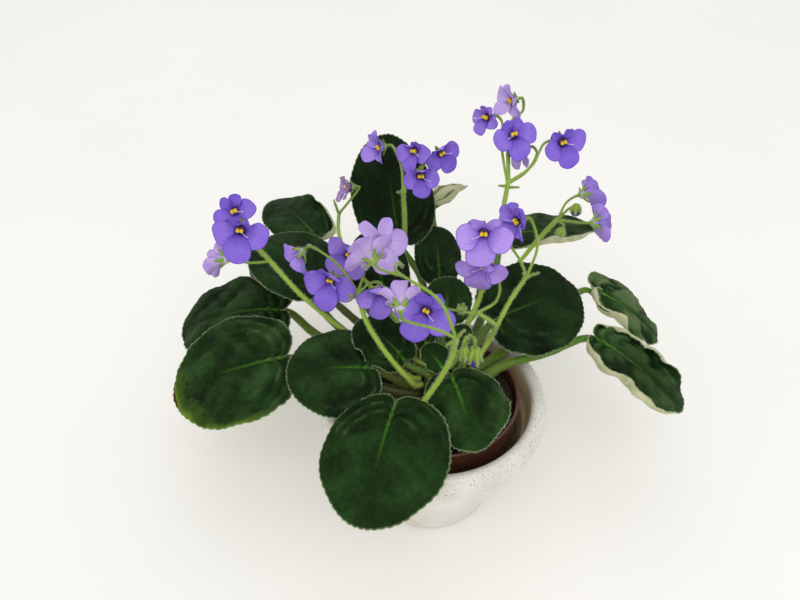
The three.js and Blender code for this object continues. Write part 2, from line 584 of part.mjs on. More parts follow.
// Flower stalks: the main stalk from the crown, side stalks that carry flowers, plain side
// twigs and bracts, and closed buds. Each side stalk starts inside the one that bears it.
const sprays = {
  stalk_left: {
    root: [179, 94],
    path: [[-30, 16, 95], [-54, 33, 101], [-66, 36, 112], [-77, 38, 124], [-92, 44, 142], [-99, 45, 152]],
    flowers: [
      { name: 'bloom_left_2', from: [-99, 45, 151.5], via: [[-101, 41, 162]] },
      { name: 'bloom_left_1', from: [-99, 45, 151.5], via: [[-107, 58, 156]] },
      { name: 'bloom_left_3', from: [-92, 44, 142], via: [[-101, 40, 144]] },
    ],
  },
  stalk_middle: {
    root: [204, 94],
    path: [[-13, -7, 98.5], [-20, -3, 105], [-28, 5, 111], [-38, 20, 119], [-43, 36, 126]],
    flowers: [
      { name: 'bloom_middle_1', from: [-43, 35, 125.5], via: [[-53, 44, 138], [-63, 46, 147], [-70, 53, 146]] },
      { name: 'bloom_middle_2', from: [-43, 35, 125.5], via: [[-49, 46, 128]] },
      { name: 'bloom_middle_3', from: [-43, 35, 125.5], via: [[-40, 60, 128]] },
      { name: 'bloom_middle_4', from: [-43, 35, 125.5], via: [[-36, 39, 130]] },
    ],
    buds: [{ from: [-43.5, 35, 125], to: [-49, 32, 127], radius: 1.8 }],
  },
  stalk_front: {
    root: [250, 88.9],
    path: [[-6, -20, 93], [-7.6, -25, 99], [-5.5, -25, 104], [2, -21, 116], [7, -21, 131], [8, -26, 150]],
    flowers: [
      {
        name: 'bloom_front_1',
        from: [8, -26, 149.5],
        via: [[0, -18, 166], [-20, 0, 169], [-20, 22, 158], [-18, 44, 139], [-25, 57, 139]],
      },
      { name: 'bloom_front_2', from: [-17, -3, 169], via: [] },
      { name: 'bloom_front_3', from: [8, -26, 149.5], via: [[-2, -29, 158]] },
    ],
    twigs: [[[8, -26, 149], [12, -27, 156]], [[7.8, -25.6, 148], [3, -27, 145]]],
  },
  stalk_centre: {
    root: [12, 88.9],
    path: [[24, 8, 99], [31, 14, 109], [34, 11, 124]],
    flowers: [
      { name: 'bloom_centre_1', from: [49, 23, 148], via: [[45, 34, 153], [34, 38, 165]] },
      { name: 'bloom_centre_2', from: [22, 9, 134], via: [[34, 20, 134], [36, 36, 138]] },
      { name: 'bloom_centre_3', from: [49, 23, 148], via: [[53, 27, 166]] },
      { name: 'bloom_centre_4', from: [22, 9, 133.5], via: [[8, 12, 134]] },
    ],
    branches: [
      [[34, 11.2, 123], [28, 9, 130], [22, 9, 134.5]],
      [[34, 11.2, 123], [41, 18, 136], [49, 23, 148.5]],
    ],
    twigs: [[[49, 23, 148], [56, 25, 149]], [[49, 23, 148], [46, 21, 152]]],
    buds: [{ from: [14, 11, 132.5], to: [14, 10, 139], radius: 1.8 }],
  },
  stalk_back: {
    root: [99, 94],
    path: [[-3, 36, 98], [-13, 70, 101], [-17, 86, 113], [-16, 88, 134], [-17, 90, 160]],
    flowers: [
      { name: 'bloom_back_1', from: [-17, 90, 159.5], via: [[-18, 106, 166], [-22, 122, 169]] },
      { name: 'bloom_back_2', from: [-6, 108, 164], via: [[-3, 114, 170]] },
      { name: 'bloom_back_3', from: [-6, 108, 164], via: [[2, 122, 167]] },
      { name: 'bloom_back_4', from: [-6, 108, 164], via: [[-7, 99, 168]] },
    ],
    branches: [[[-17, 90, 159], [-13, 99, 162], [-6, 108.5, 164.4]]],
    twigs: [[[-17, 90, 158], [-21, 88, 160]]],
  },
  stalk_old: {
    root: [140, 96.6],
    stalk: 1.3,
    path: [[-10, 9, 98.8], [-15, 24, 103.5], [-25, 38, 109], [-34, 50, 115], [-46, 64, 121], [-57, 88, 130], [-57, 98, 139]],
    flowers: [{ name: 'bloom_old', from: [-57, 97, 138.5], via: [[-50, 97, 148]] }],
    twigs: [[[-57, 97, 138], [-60, 100, 147]]],
  },
  stalk_tall: {
    root: [52, 94],
    path: [[15, 18, 100], [20, 27, 110], [26, 35, 120], [32, 46, 138], [38, 60, 158], [42, 72, 178]],
    flowers: [
      { name: 'bloom_tall_1', from: [42, 71.5, 177], via: [[42, 86, 187], [45, 104, 197], [54, 118, 198]] },
      { name: 'bloom_tall_2', from: [41.6, 70.6, 175.6], via: [[39, 88, 188], [40, 104, 197]] },
      { name: 'bloom_tall_3', from: [42.2, 71.9, 177.4], via: [[43, 84, 184]] },
      { name: 'bloom_tall_4', from: [41.9, 71, 176.2], via: [[52, 78, 179], [60, 92, 184]] },
      { name: 'bloom_tall_5', from: [41.7, 71.2, 176.7], via: [[55, 77, 184], [63, 90, 191]] },
    ],
    twigs: [[[41.4, 70.2, 175], [36, 69, 176]], [[41.2, 69.8, 174.4], [48, 69, 175]]],
  },
  stalk_right: {
    root: [74, 88.9],
    path: [[13, 30, 92.5], [34, 60, 97], [58, 87, 109], [72, 90, 130], [78, 89, 140]],
    flowers: [
      { name: 'bloom_right_1', from: [78, 89, 139.5], via: [[83, 95, 148]] },
      { name: 'bloom_right_2', from: [78, 89, 139.5], via: [[84, 82, 143]] },
    ],
    twigs: [[[78, 89, 139.5], [84, 90, 147], [88, 90, 149.5]], [[78, 89, 139], [81, 84, 139], [80, 81, 136.5]]],
    buds: [
      { from: [88, 90, 150], to: [88, 88, 144], radius: 2.6 },
      { from: [80, 82, 138], to: [78, 80, 133], radius: 2.2 },
    ],
  },
  stalk_young: {
    root: [28, 94],
    stalk: 1.4,
    path: [[16, 4, 106], [16, 2, 118], [18, -2, 128]],
    flowers: [],
    twigs: [[[18, -2, 127], [20, -5, 129], [20.5, -8, 124]], [[18, -2, 127], [15, -5, 129], [14, -8, 124]]],
    buds: [
      { from: [20.5, -8, 125], to: [21, -9, 117], radius: 2.1 },
      { from: [14, -8, 125], to: [13.5, -9, 118], radius: 1.8 },
    ],
  },
};

function addSpray(name, spec) {
  const radius = spec.stalk ?? STALK_RADIUS;
  const pieces = [stem([...crownSide(...spec.root), ...spec.path.map(point)], radius, 6)];
  (spec.branches ?? []).forEach((branch) => pieces.push(stem(branch.map(point), radius * BRANCH_SHARE, 5)));
  (spec.twigs ?? []).forEach((twig) => pieces.push(stem(twig.map(point), PEDICEL_RADIUS, 4)));
  (spec.buds ?? []).forEach((closed) => pieces.push(bud(closed)));
  spec.flowers.forEach(({ name: flower, from, via }) => {
    const frame = bloomFrame(blooms[flower]);
    const behind = (drop) => point([0, 0, -drop]).applyMatrix4(frame);
    const end = [behind(CALYX_DROP + PEDICEL_LEAD), behind(CALYX_DROP + PEDICEL_SINK)];
    pieces.push(stem([point(from), ...via.map(point), ...end], PEDICEL_RADIUS, 4));
    pieces.push(calyx(frame));
  });
  addPiece(name, joinAll(pieces), 'stalk');
}
Object.entries(sprays).forEach(([name, spec]) => addSpray(name, spec));

export default plant;
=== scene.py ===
import math
import random
import re

import bpy
import numpy as np
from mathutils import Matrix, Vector


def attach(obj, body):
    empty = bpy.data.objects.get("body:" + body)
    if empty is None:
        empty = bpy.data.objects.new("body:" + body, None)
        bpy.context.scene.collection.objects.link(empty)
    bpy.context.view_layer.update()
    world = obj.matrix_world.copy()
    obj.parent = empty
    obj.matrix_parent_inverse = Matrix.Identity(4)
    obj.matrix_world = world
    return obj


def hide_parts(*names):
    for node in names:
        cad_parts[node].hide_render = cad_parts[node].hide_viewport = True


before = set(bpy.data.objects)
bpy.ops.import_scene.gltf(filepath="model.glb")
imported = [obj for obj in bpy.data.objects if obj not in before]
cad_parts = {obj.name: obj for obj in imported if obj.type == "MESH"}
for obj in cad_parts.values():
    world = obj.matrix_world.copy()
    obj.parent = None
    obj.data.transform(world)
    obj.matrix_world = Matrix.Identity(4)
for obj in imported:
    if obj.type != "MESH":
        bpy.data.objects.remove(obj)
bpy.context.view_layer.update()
random.seed(17)
chance = np.random.default_rng(17)
mm = 0.001  # the tables below are in millimetres
anyTurn = 6.28  # a full turn, as far as a random draw needs it


# Materials: each tool adds a node and gives back its output
def linearColour(code):
    parts = [int(code[i:i + 2], 16) / 255 for i in (1, 3, 5)]
    return [p / 12.92 if p <= 0.04045 else ((p + 0.055) / 1.055) ** 2.4 for p in parts] + [1.0]


def newMaterial(name, shader):
    material = bpy.data.materials.new(name)
    material.use_nodes = True
    for socket, value in shader.items():
        material.node_tree.nodes["Principled BSDF"].inputs[socket].default_value = value
    return material, material.node_tree


def finishMaterial(material, colour, normal):
    tree = material.node_tree
    surface = tree.nodes["Principled BSDF"]
    tree.links.new(colour, surface.inputs["Base Color"])
    tree.links.new(normal, surface.inputs["Normal"])
    return material


def addNode(tree, kind, inputs, output=0, **settings):
    # An input is a plain value, or the output of another node, which is linked to it
    node = tree.nodes.new("ShaderNode" + kind)
    for name, value in settings.items():
        setattr(node, name, value)
    for socket, value in inputs.items():
        if isinstance(value, bpy.types.NodeSocket):
            tree.links.new(value, node.inputs[socket])
        else:
            node.inputs[socket].default_value = value
    return node.outputs[output]


def fact(tree, name, part=None):
    # A value kept on the points of a piece, or one part of a vector kept there
    if part is None:
        return addNode(tree, "Attribute", {}, "Fac", attribute_name=name)
    vector = addNode(tree, "Attribute", {}, "Vector", attribute_name=name)
    return addNode(tree, "SeparateXYZ", {"Vector": vector}, part)


def objectPlace(tree):
    return addNode(tree, "TexCoord", {}, "Object")


def noise(tree, scale, detail, vector=None):
    return addNode(tree, "TexNoise", {
        "Vector": vector or objectPlace(tree), "Scale": scale, "Detail": detail}, "Fac")


def voronoi(tree, scale, **settings):
    return addNode(tree, "TexVoronoi", {"Vector": objectPlace(tree), "Scale": scale}, "Distance", **settings)


def remap(tree, value, low, high, first=0.0, last=1.0):
    # Takes low to first and high to last, and stops there
    return addNode(tree, "MapRange", {
        "Value": value, "From Min": low, "From Max": high, "To Min": first, "To Max": last})


def calc(tree, operation, first, second, **settings):
    return addNode(tree, "Math", {0: first, 1: second}, operation=operation, **settings)


def ramp(tree, value, stops):
    # Colours along a value; a stop is a place and a colour
    colour = addNode(tree, "ValToRGB", {"Fac": value}, "Color")
    marks = colour.node.color_ramp.elements
    for mark, (place, code) in zip(marks, (stops[0], stops[-1])):
        mark.position, mark.color = place, linearColour(code)
    for place, code in stops[1:-1]:
        marks.new(place).color = linearColour(code)
    return colour


def overlay(tree, share, base, colour):
    # Lays a colour, or another pattern, over the base by its share
    over = linearColour(colour) if isinstance(colour, str) else colour
    return addNode(tree, "Mix", {0: share, 6: base, 7: over}, 2, data_type="RGBA")


def specks(tree, scale, rare, size):
    # Dots in the cells whose own draw is past rare, the largest of them as wide as size
    distance = voronoi(tree, scale)
    draw = addNode(tree, "SeparateColor", {"Color": distance.node.outputs["Color"]}, "Red")
    return calc(tree, "LESS_THAN", distance, remap(tree, draw, rare, 1, 0, size))


def bump(tree, height, strength, depth, over=None):
    inputs = {"Height": height, "Strength": strength, "Distance": depth}
    if over:
        inputs["Normal"] = over
    return addNode(tree, "Bump", inputs, "Normal")


# Shapes: tools that every piece uses
def smoothStep(value, low, high):
    share = np.clip((value - low) / (high - low), 0, 1)
    return share * share * (3 - 2 * share)


def nodeOf(name):
    return re.sub(r"([A-Z]|\d+)", r"_\1", name).lower()


def unit(vector):
    vector = np.asarray(vector, float)
    return vector / np.linalg.norm(vector)


def pointsOf(mesh):
    flat = np.empty(len(mesh.vertices) * 3)
    mesh.vertices.foreach_get("co", flat)
    return flat.reshape(-1, 3)


def shapeOf(makePrimitive, **sizes):
    # The points and faces of a primitive, which is taken away again
    bpy.ops.object.select_all(action="DESELECT")
    makePrimitive(**sizes)
    made = bpy.context.active_object
    bpy.ops.object.transform_apply(location=True)
    faces = np.array([list(face.vertices) for face in made.data.polygons])
    shape = pointsOf(made.data), faces
    bpy.data.objects.remove(made)
    return shape


blankGrids = {}


def blankGrid(columns, rows):
    # A flat grid from -1 to 1, made once for each size and copied with its own mesh
    if (columns, rows) not in blankGrids:
        bpy.ops.object.select_all(action="DESELECT")
        bpy.ops.mesh.primitive_grid_add(x_subdivisions=columns, y_subdivisions=rows, size=2)
        made = bpy.context.active_object
        blankGrids[columns, rows] = made.data
        bpy.data.objects.remove(made)
    return blankGrids[columns, rows].copy()


def keepFacts(mesh, facts):
    # Values for the points of a mesh, one for each or one for all, which the materials read by name
    for title, value in facts.items():
        wide = np.shape(value)[-1:] == (3,)
        layer = mesh.attributes.new(title, "FLOAT_VECTOR" if wide else "FLOAT", "POINT")
        size = (len(mesh.vertices), 3) if wide else len(mesh.vertices)
        spread = np.ascontiguousarray(np.broadcast_to(value, size), float)
        layer.data.foreach_set("vector" if wide else "value", spread.ravel())


def paintFaces(mesh, material, smooth=True):
    mesh.polygons.foreach_set("material_index", np.broadcast_to(material, len(mesh.polygons)).tolist())
    mesh.polygons.foreach_set("use_smooth", [smooth] * len(mesh.polygons))
    mesh.update()


def showMesh(name, mesh):
    piece = bpy.data.objects.new(name, mesh)
    bpy.context.scene.collection.objects.link(piece)
    return piece


def gridPiece(name, columns, rows, place, facts, material=0):
    # place turns the grid's two coordinates into points in mm, and may add to the facts
    mesh = blankGrid(columns, rows)
    across, up, _ = pointsOf(mesh).T
    mesh.vertices.foreach_set("co", (place(across, up) * mm).ravel())
    keepFacts(mesh, facts)
    paintFaces(mesh, material)
    return showMesh(name, mesh)


def ballPiece(detail, material, place):
    # A round lump from a unit ball whose points place moves
    bpy.ops.object.select_all(action="DESELECT")
    bpy.ops.mesh.primitive_ico_sphere_add(subdivisions=detail, radius=1)
    ball = bpy.context.active_object
    ball.data.vertices.foreach_set("co", (place(pointsOf(ball.data)) * mm).ravel())
    paintFaces(ball.data, material)
    return ball


def trianglePiece(name, points, faces, material, smooth):
    # One object from many small closed shapes
    mesh = bpy.data.meshes.new(name)
    mesh.vertices.add(len(points))
    mesh.vertices.foreach_set("co", (points * mm).ravel())
    mesh.loops.add(faces.size)
    mesh.loops.foreach_set("vertex_index", faces.ravel())
    mesh.polygons.add(len(faces))
    mesh.polygons.foreach_set("loop_start", np.arange(len(faces)) * 3)
    mesh.update(calc_edges=True)
    paintFaces(mesh, material, smooth)
    return showMesh(name, mesh)


def discOf(a, b):
    # The square grid laid on a round disc: how far out a point lies, and its turn
    x = a * np.sqrt(1 - b * b / 2)
    y = b * np.sqrt(1 - a * a / 2)
    return np.hypot(x, y), np.arctan2(y, x)


def thicken(piece, thickness, weights, finish, under):
    # Gives a blade its flesh: thinner where the weights are low, with its own underside finish
    for material in finish:
        piece.data.materials.append(material)
    group = piece.vertex_groups.new(name="flesh")
    for index, weight in enumerate(weights):
        group.add([index], float(weight), "REPLACE")
    wall = piece.modifiers.new("wall", "SOLIDIFY")
    wall.thickness = thickness * mm
    wall.offset = 0
    wall.vertex_group = "flesh"
    wall.thickness_vertex_group = 0
    wall.material_offset = under
    bpy.ops.object.select_all(action="DESELECT")
    piece.select_set(True)
    bpy.context.view_layer.objects.active = piece
    bpy.ops.object.modifier_apply(modifier="wall")
    piece.vertex_groups.clear()
    return piece


def joinPieces(name, pieces, materials):
    # One object from the parts of a piece, with its seams and poles closed
    bpy.ops.object.select_all(action="DESELECT")
    for piece in pieces:
        if not piece.data.materials:
            for material in materials:
                piece.data.materials.append(material)
        piece.select_set(True)
    whole = pieces[0]
    bpy.context.view_layer.objects.active = whole
    if len(pieces) > 1:
        bpy.ops.object.join()
    bpy.ops.object.mode_set(mode="EDIT")
    bpy.ops.mesh.select_all(action="SELECT")
    bpy.ops.mesh.remove_doubles(threshold=2e-6)
    bpy.ops.object.mode_set(mode="OBJECT")
    whole.name = name
    whole.data.name = name
    return whole


def settle(piece, node):
    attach(piece, "root")
    if node:
        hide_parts(node)


# Stems and hairs
pathStep = 1.5  # how far apart the points of a stem's middle line lie


def smoothPath(points, perSpan=12):
    # A smooth line through the points, spaced evenly along its length
    p = np.array(points, float)
    p = np.vstack([2 * p[0] - p[1], p, 2 * p[-1] - p[-2]])
    line = []
    for i in range(1, len(p) - 2):
        a, b, c, d = p[i - 1:i + 3]
        ab, bc, cd = (max(np.linalg.norm(f - e), 1e-6) ** 0.5 for e, f in ((a, b), (b, c), (c, d)))
        start = ((b - a) / ab - (c - a) / (ab + bc) + (c - b) / bc) * bc
        end = ((c - b) / bc - (d - b) / (bc + cd) + (d - c) / cd) * bc
        t = np.linspace(0, 1, perSpan, endpoint=i == len(p) - 3)[:, None]
        square, cube = 3 * (c - b) - 2 * start - end, 2 * (b - c) + start + end
        line.append(b + start * t + square * t ** 2 + cube * t ** 3)
    line = np.vstack(line)
    gone = np.r_[0, np.cumsum(np.linalg.norm(np.diff(line, axis=0), axis=1))]
    even = np.linspace(0, gone[-1], max(8, int(gone[-1] / pathStep)))
    return np.stack([np.interp(even, gone, line[:, k]) for k in range(3)], axis=1), gone[-1]


def makeStem(points, radii, reach=(0, 1)):
    # radii are spread evenly from the root to the end; reach places the stem in its plant's colours
    path, length = smoothPath(points)
    ahead = np.gradient(path, axis=0)
    ahead /= np.linalg.norm(ahead, axis=1)[:, None]
    side = np.cross(ahead[0], (0.3, 0.5, 0.81))
    sides = []
    for tangent in ahead:
        side = unit(side - tangent * side.dot(tangent))
        sides.append(side)
    share = np.linspace(0, 1, len(path))
    return {
        "path": path, "ahead": ahead, "sides": np.array(sides), "ups": np.cross(ahead, sides),
        "length": length, "radii": np.interp(share, np.linspace(0, 1, len(radii)), radii), "reach": reach}


def stemPoint(stem, share, turn, girth=1.0):
    place = share * (len(stem["path"]) - 1)
    low = np.clip(place.astype(int), 0, len(stem["path"]) - 2)
    part = (place - low)[:, None]
    path, ahead, sides, ups = (
        stem[key][low] * (1 - part) + stem[key][low + 1] * part for key in ("path", "ahead", "sides", "ups"))
    radius = np.interp(share, np.linspace(0, 1, len(stem["radii"])), stem["radii"]) * girth
    out = sides * np.cos(turn)[:, None] + ups * np.sin(turn)[:, None]
    return path + out * radius[:, None], out, ahead


def stemPiece(stem, around, material, step=1.6, facts=None):
    # A tube over the stem, a little lumpy, with a closed end at each side
    rows = max(4, int(stem["length"] / step)) + 2
    lumps = chance.uniform(0, anyTurn, 3)
    low, high = stem["reach"]
    kept = dict(facts or {})

    def place(a, b):
        row = (b + 1) / 2 * rows
        share = np.clip((row - 1) / (rows - 2), 0, 1)
        closed = (row > 0.5) & (row < rows - 0.5)
        turn = math.pi * (a + 1)
        lump = 1 + 0.04 * np.sin(share * stem["length"] * 0.6 + lumps[0]) * np.sin(2 * turn + lumps[1])
        kept["reach"] = low + (high - low) * ((b + 1) / 2)
        return stemPoint(stem, share, turn, np.where(closed, lump, 0))[0]

    return gridPiece("stem", around, rows, place, kept, material)


# One hair: a three-sided spike of height 1 on a base of radius 1
spikePoints, spikeFaces = shapeOf(
    bpy.ops.mesh.primitive_cone_add, vertices=3, radius1=1, radius2=0, depth=1, location=(0, 0, 0.5))


def hairPiece(roots, ways, lengths, radius, material):
    # A coat of hairs, each a copy of the spike, standing on the roots
    count = len(roots)
    ways = ways / np.linalg.norm(ways, axis=1)[:, None]
    helper = np.where(np.abs(ways[:, 2:3]) < 0.9, [[0, 0, 1.0]], [[1.0, 0, 0]])
    first = np.cross(helper, ways)
    first /= np.linalg.norm(first, axis=1)[:, None]
    second = np.cross(ways, first)
    sized = np.broadcast_to(radius, count)[:, None, None]
    points = (
        roots[:, None, :]
        + spikePoints[None, :, 0:1] * first[:, None, :] * sized
        + spikePoints[None, :, 1:2] * second[:, None, :] * sized
        + spikePoints[None, :, 2:3] * ways[:, None, :] * np.asarray(lengths)[:, None, None])
    faces = (spikeFaces[None] + np.arange(count)[:, None, None] * len(spikePoints)).reshape(-1, 3)
    return trianglePiece("hairs", points.reshape(-1, 3), faces, material, True)


def stemHairs(stem, perMm, longest, material, radius=0.07, span=(0, 1)):
    count = max(6, int(stem["length"] * perMm * 1.4 * (span[1] - span[0])))
    share = chance.uniform(span[0], span[1], count)
    turn = chance.uniform(0, 2 * math.pi, count)
    roots, out, ahead = stemPoint(stem, share, turn, 0.97)
    ways = out + ahead * chance.uniform(-0.3, 0.4, count)[:, None] + chance.normal(0, 0.16, (count, 3))
    return hairPiece(roots, ways, longest * chance.uniform(0.5, 1, count), radius, material)


leafLook = {
    "body": [(0.2, "#0e1d08"), (0.5, "#18300f"), (0.68, "#1f3c16"), (0.95, "#2e4b25")],
    "vein": "#2c5320", "midrib": "#44761f", "rim": "#7f9468", "yellow": "#6c8a22", "brown": "#4c2c16",
    "bloom": "#5a6845", "grit": "#a3a184"}


def leafMaterial(look):
    # Violet leaf: fleshy, dark green, felted with short hairs, with a grey-green painted sheen on its ridges
    material, tree = newMaterial("feltedLeaf", {"Roughness": 0.5, "Specular IOR Level": 0.06})
    phase, aside, along = (fact(tree, "veins", part) for part in "XYZ")
    # painted shade and light from the relief: the hollows darker, the ridges lighter
    raised = remap(tree, fact(tree, "relief"), -1.2, 1.6, -0.2, 0.24)
    flecks = remap(tree, noise(tree, 400, 3), 0.3, 0.7, -0.1, 0.1)  # 2.5 mm across
    clouds = noise(tree, 45, 3)  # 22 mm across
    colour = ramp(tree, calc(tree, "ADD", calc(tree, "ADD", clouds, raised), flecks), look["body"])
    # side veins: thin lines a little lighter than the blade
    line = remap(tree, calc(tree, "PINGPONG", phase, 0.5), 0.015, 0.06, 1, 0)
    near = remap(tree, aside, 1, 15, 0.17, 0)
    colour = overlay(tree, calc(tree, "MULTIPLY", line, near), colour, look["vein"])
    # midrib: lime green at the stalk, fading towards the tip
    rib = remap(tree, aside, 0.3, 1.3, 1, 0)
    fade = remap(tree, along, 0.06, 0.6, 0.9, 0.03)
    colour = overlay(tree, calc(tree, "MULTIPLY", rib, fade), colour, look["midrib"])
    # rim: the last millimetre is thinner and lighter
    colour = overlay(tree, remap(tree, fact(tree, "edge"), 0.975, 1, 0, 0.8), colour, look["rim"])
    # ageing: yellow patches at the margin of the oldest leaf, with a brown spot
    age = fact(tree, "age")
    colour = overlay(tree, age, colour, look["yellow"])
    colour = overlay(tree, remap(tree, age, 0.8, 1), colour, look["brown"])
    # painted sheen: a grey-green highlight laid over the ridges and crests, where the hairs catch the light
    bloom = calc(tree, "MULTIPLY", fact(tree, "bloom"), 0.5, use_clamp=True)
    colour = overlay(tree, bloom, colour, look["bloom"])
    # dust and grit: here and there a pale grain caught in the hairs
    grit = calc(tree, "MULTIPLY", specks(tree, 130, 0.86, 0.055), 0.6)
    colour = overlay(tree, grit, colour, look["grit"])
    # each leaf's colour multiplied by its own factor: partly its own tone, partly painted shade on leaves
    # that lie back or face away from the light
    shaded = addNode(tree, "Mix", {0: 1.0, 6: colour, 7: fact(tree, "toneAndShade")}, 2,
                     data_type="RGBA", blend_type="MULTIPLY")
    # relief: a net of small veins about 3 mm apart under a nap of 0.5 mm
    net = voronoi(tree, 330, feature="DISTANCE_TO_EDGE")
    net.node.inputs["Randomness"].default_value = 0.9
    coarse = bump(tree, remap(tree, net, 0, 0.25), 0.35, 0.0003)
    return finishMaterial(material, shaded, bump(tree, noise(tree, 2000, 2), 0.5, 0.0002, coarse))


leafUnderLook = {"body": [(0.3, "#9ba277"), (0.7, "#c8c8a2")], "vein": "#dcdabf", "worn": "#4c5234"}


def leafUnderMaterial(look):
    # Leaf underside: pale silky green with raised veins, matt under dense hair
    material, tree = newMaterial("leafUnderside", {
        "Roughness": 0.7, "Specular IOR Level": 0.25, "Sheen Weight": 0.1, "Sheen Roughness": 0.5})
    line = calc(tree, "PINGPONG", fact(tree, "veins", "X"), 0.5)
    colour = ramp(tree, noise(tree, 120, 4), look["body"])
    colour = overlay(tree, remap(tree, line, 0.02, 0.1, 0.3, 0), colour, look["vein"])
    # where it ages the silk wears off in olive streaks
    colour = overlay(tree, fact(tree, "age"), colour, look["worn"])
    return finishMaterial(material, colour, bump(tree, noise(tree, 1600, 2), 0.5, 0.0003))


def stemMaterial(name, stops, tinted):
    # Violet stalk: juicy, ribbed lengthwise and hairy; reach runs from its root to its end
    material, tree = newMaterial(name, {
        "Roughness": 0.42, "Specular IOR Level": 0.3, "Sheen Weight": 0.06, "Sheen Roughness": 0.4})
    shift = remap(tree, noise(tree, 90, 3), 0.3, 0.7, -0.1, 0.1)
    colour = ramp(tree, calc(tree, "ADD", fact(tree, "reach"), shift), stops)
    colour = overlay(tree, fact(tree, "tint"), colour, tinted)
    return finishMaterial(material, colour, bump(tree, noise(tree, 900, 2), 0.35, 0.0003))


def petalMaterial(name, stops, rim, rimShare):
    # Petal: one thin layer of water-filled cells, satin with a faint sparkle, darker at the throat by painted
    # shade
    material, tree = newMaterial(name, {
        "Roughness": 0.5, "Specular IOR Level": 0.25, "Sheen Weight": 0.04, "Sheen Roughness": 0.4,
        "Subsurface Weight": 0.12, "Subsurface Radius": (0.0012, 0.0008, 0.0018), "Subsurface Scale": 1.0})
    shift = remap(tree, noise(tree, 160, 2), 0.3, 0.7, -0.08, 0.08)
    spot = calc(tree, "ADD", fact(tree, "petal", "X"), shift)
    paler = calc(tree, "MULTIPLY", fact(tree, "tone"), remap(tree, spot, 0.12, 0.6))
    colour = overlay(tree, paler, ramp(tree, spot, stops), "#c09ff2")
    # veins fan out from the throat: fine streaks, about 0.8 mm apart
    plan = addNode(tree, "Attribute", {}, "Vector", attribute_name="petal")
    streak = noise(tree, 1.4, 2, addNode(tree, "Mapping", {"Vector": plan, "Scale": (0.9, 14, 3)}))
    colour = overlay(tree, remap(tree, streak, 0.5, 0.72, 0, 0.28), colour, "#6a4bc8")
    colour = overlay(tree, remap(tree, fact(tree, "edge"), 1 - rimShare, 1, 0, 0.75), colour, rim)
    sparkle = bump(tree, voronoi(tree, 3500), 0.25, 0.0002)
    return finishMaterial(material, colour, bump(tree, streak, 0.3, 0.0004, sparkle))


def plainMaterial(name, low, high, grain, depth, shader):
    # A mottled natural surface; grain is the size of its mottling in metres
    material, tree = newMaterial(name, shader)
    tone = noise(tree, 1 / grain, 4)
    colour = ramp(tree, tone, [(0.3, low), (0.7, high)])
    return finishMaterial(material, colour, bump(tree, tone, 0.6, depth))


def hairMaterial(name, low, high):
    # Plant hair: clear thin cells that catch the light, so they read as a pale fringe
    material, tree = newMaterial(name, {"Roughness": 0.5})
    colour = ramp(tree, noise(tree, 300, 1), [(0.3, low), (0.7, high)])
    tree.links.new(colour, tree.nodes["Principled BSDF"].inputs["Base Color"])
    return material


stemLooks = {
    "juicyPetiole": {"stops": [(0.0, "#5a6a1c"), (0.4, "#577a1c"), (1.0, "#4c7a1e")], "tinted": "#3b3a12"},
    "hairyStalk": {
        "stops": [(0.0, "#88a630"), (0.35, "#96b83a"), (0.7, "#86a934"), (1.0, "#66922e")],
        "tinted": "#5f4226"}}
# the dark first stops of the petal fronts are painted shade in the flower's throat
petalLooks = {
    "violetPetal": {
        "stops": [(0.0, "#1d0a38"), (0.14, "#3a1b78"), (0.27, "#6b4abf"), (0.6, "#7d5fd2"), (1.0, "#7454cd")],
        "rim": "#5a3cba", "rimShare": 0.08},
    "palePetal": {
        "stops": [(0.0, "#4a2f7e"), (0.16, "#9d84cf"), (0.4, "#cdb6ee"), (1.0, "#c2a6ec")],
        "rim": "#a080dc", "rimShare": 0.05},
    "petalBack": {
        "stops": [(0.0, "#d8cfc4"), (0.14, "#cdbce0"), (0.45, "#cbb4e8"), (1.0, "#b597e0")],
        "rim": "#8d6fd0", "rimShare": 0.05},
    "violetBack": {
        "stops": [(0.0, "#cfc6cc"), (0.14, "#ad97d8"), (0.45, "#a489e0"), (1.0, "#9474dc")],
        "rim": "#7450cc", "rimShare": 0.06},
    "fadedPetal": {
        "stops": [(0.0, "#5b3f6d"), (0.3, "#9a83be"), (1.0, "#a58dbb")], "rim": "#7d4d3a", "rimShare": 0.14}}
petioleSkin, stalkSkin = (stemMaterial(name, **look) for name, look in stemLooks.items())
petalSkins = {name: petalMaterial(name, **look) for name, look in petalLooks.items()}
paleHair = hairMaterial("paleHair", "#bccb98", "#eef1dc")
rimHair = hairMaterial("rimHair", "#a9b78c", "#e6ebd4")
# the throat: a dark violet painted shade where the flower's middle lies in shadow
throatShadeSkin = plainMaterial("petalThroatShade", "#2a1447", "#4a2a78", 0.0008, 0.0001, {"Roughness": 0.5})
antherSkin = plainMaterial("ripeAnther", "#e0b010", "#f8da2c", 0.0006, 0.0001, {"Roughness": 0.45})
styleSkin = plainMaterial("paleStyle", "#b9a6d8", "#e6dcf2", 0.002, 0.0001, {"Roughness": 0.4})
# By number: 0 blade, 1 underside, 2 petiole, 3 hairs of the rim, 4 hairs of the petiole
leafFinish = [leafMaterial(leafLook), leafUnderMaterial(leafUnderLook), petioleSkin, rimHair, paleHair]
print("materials made")


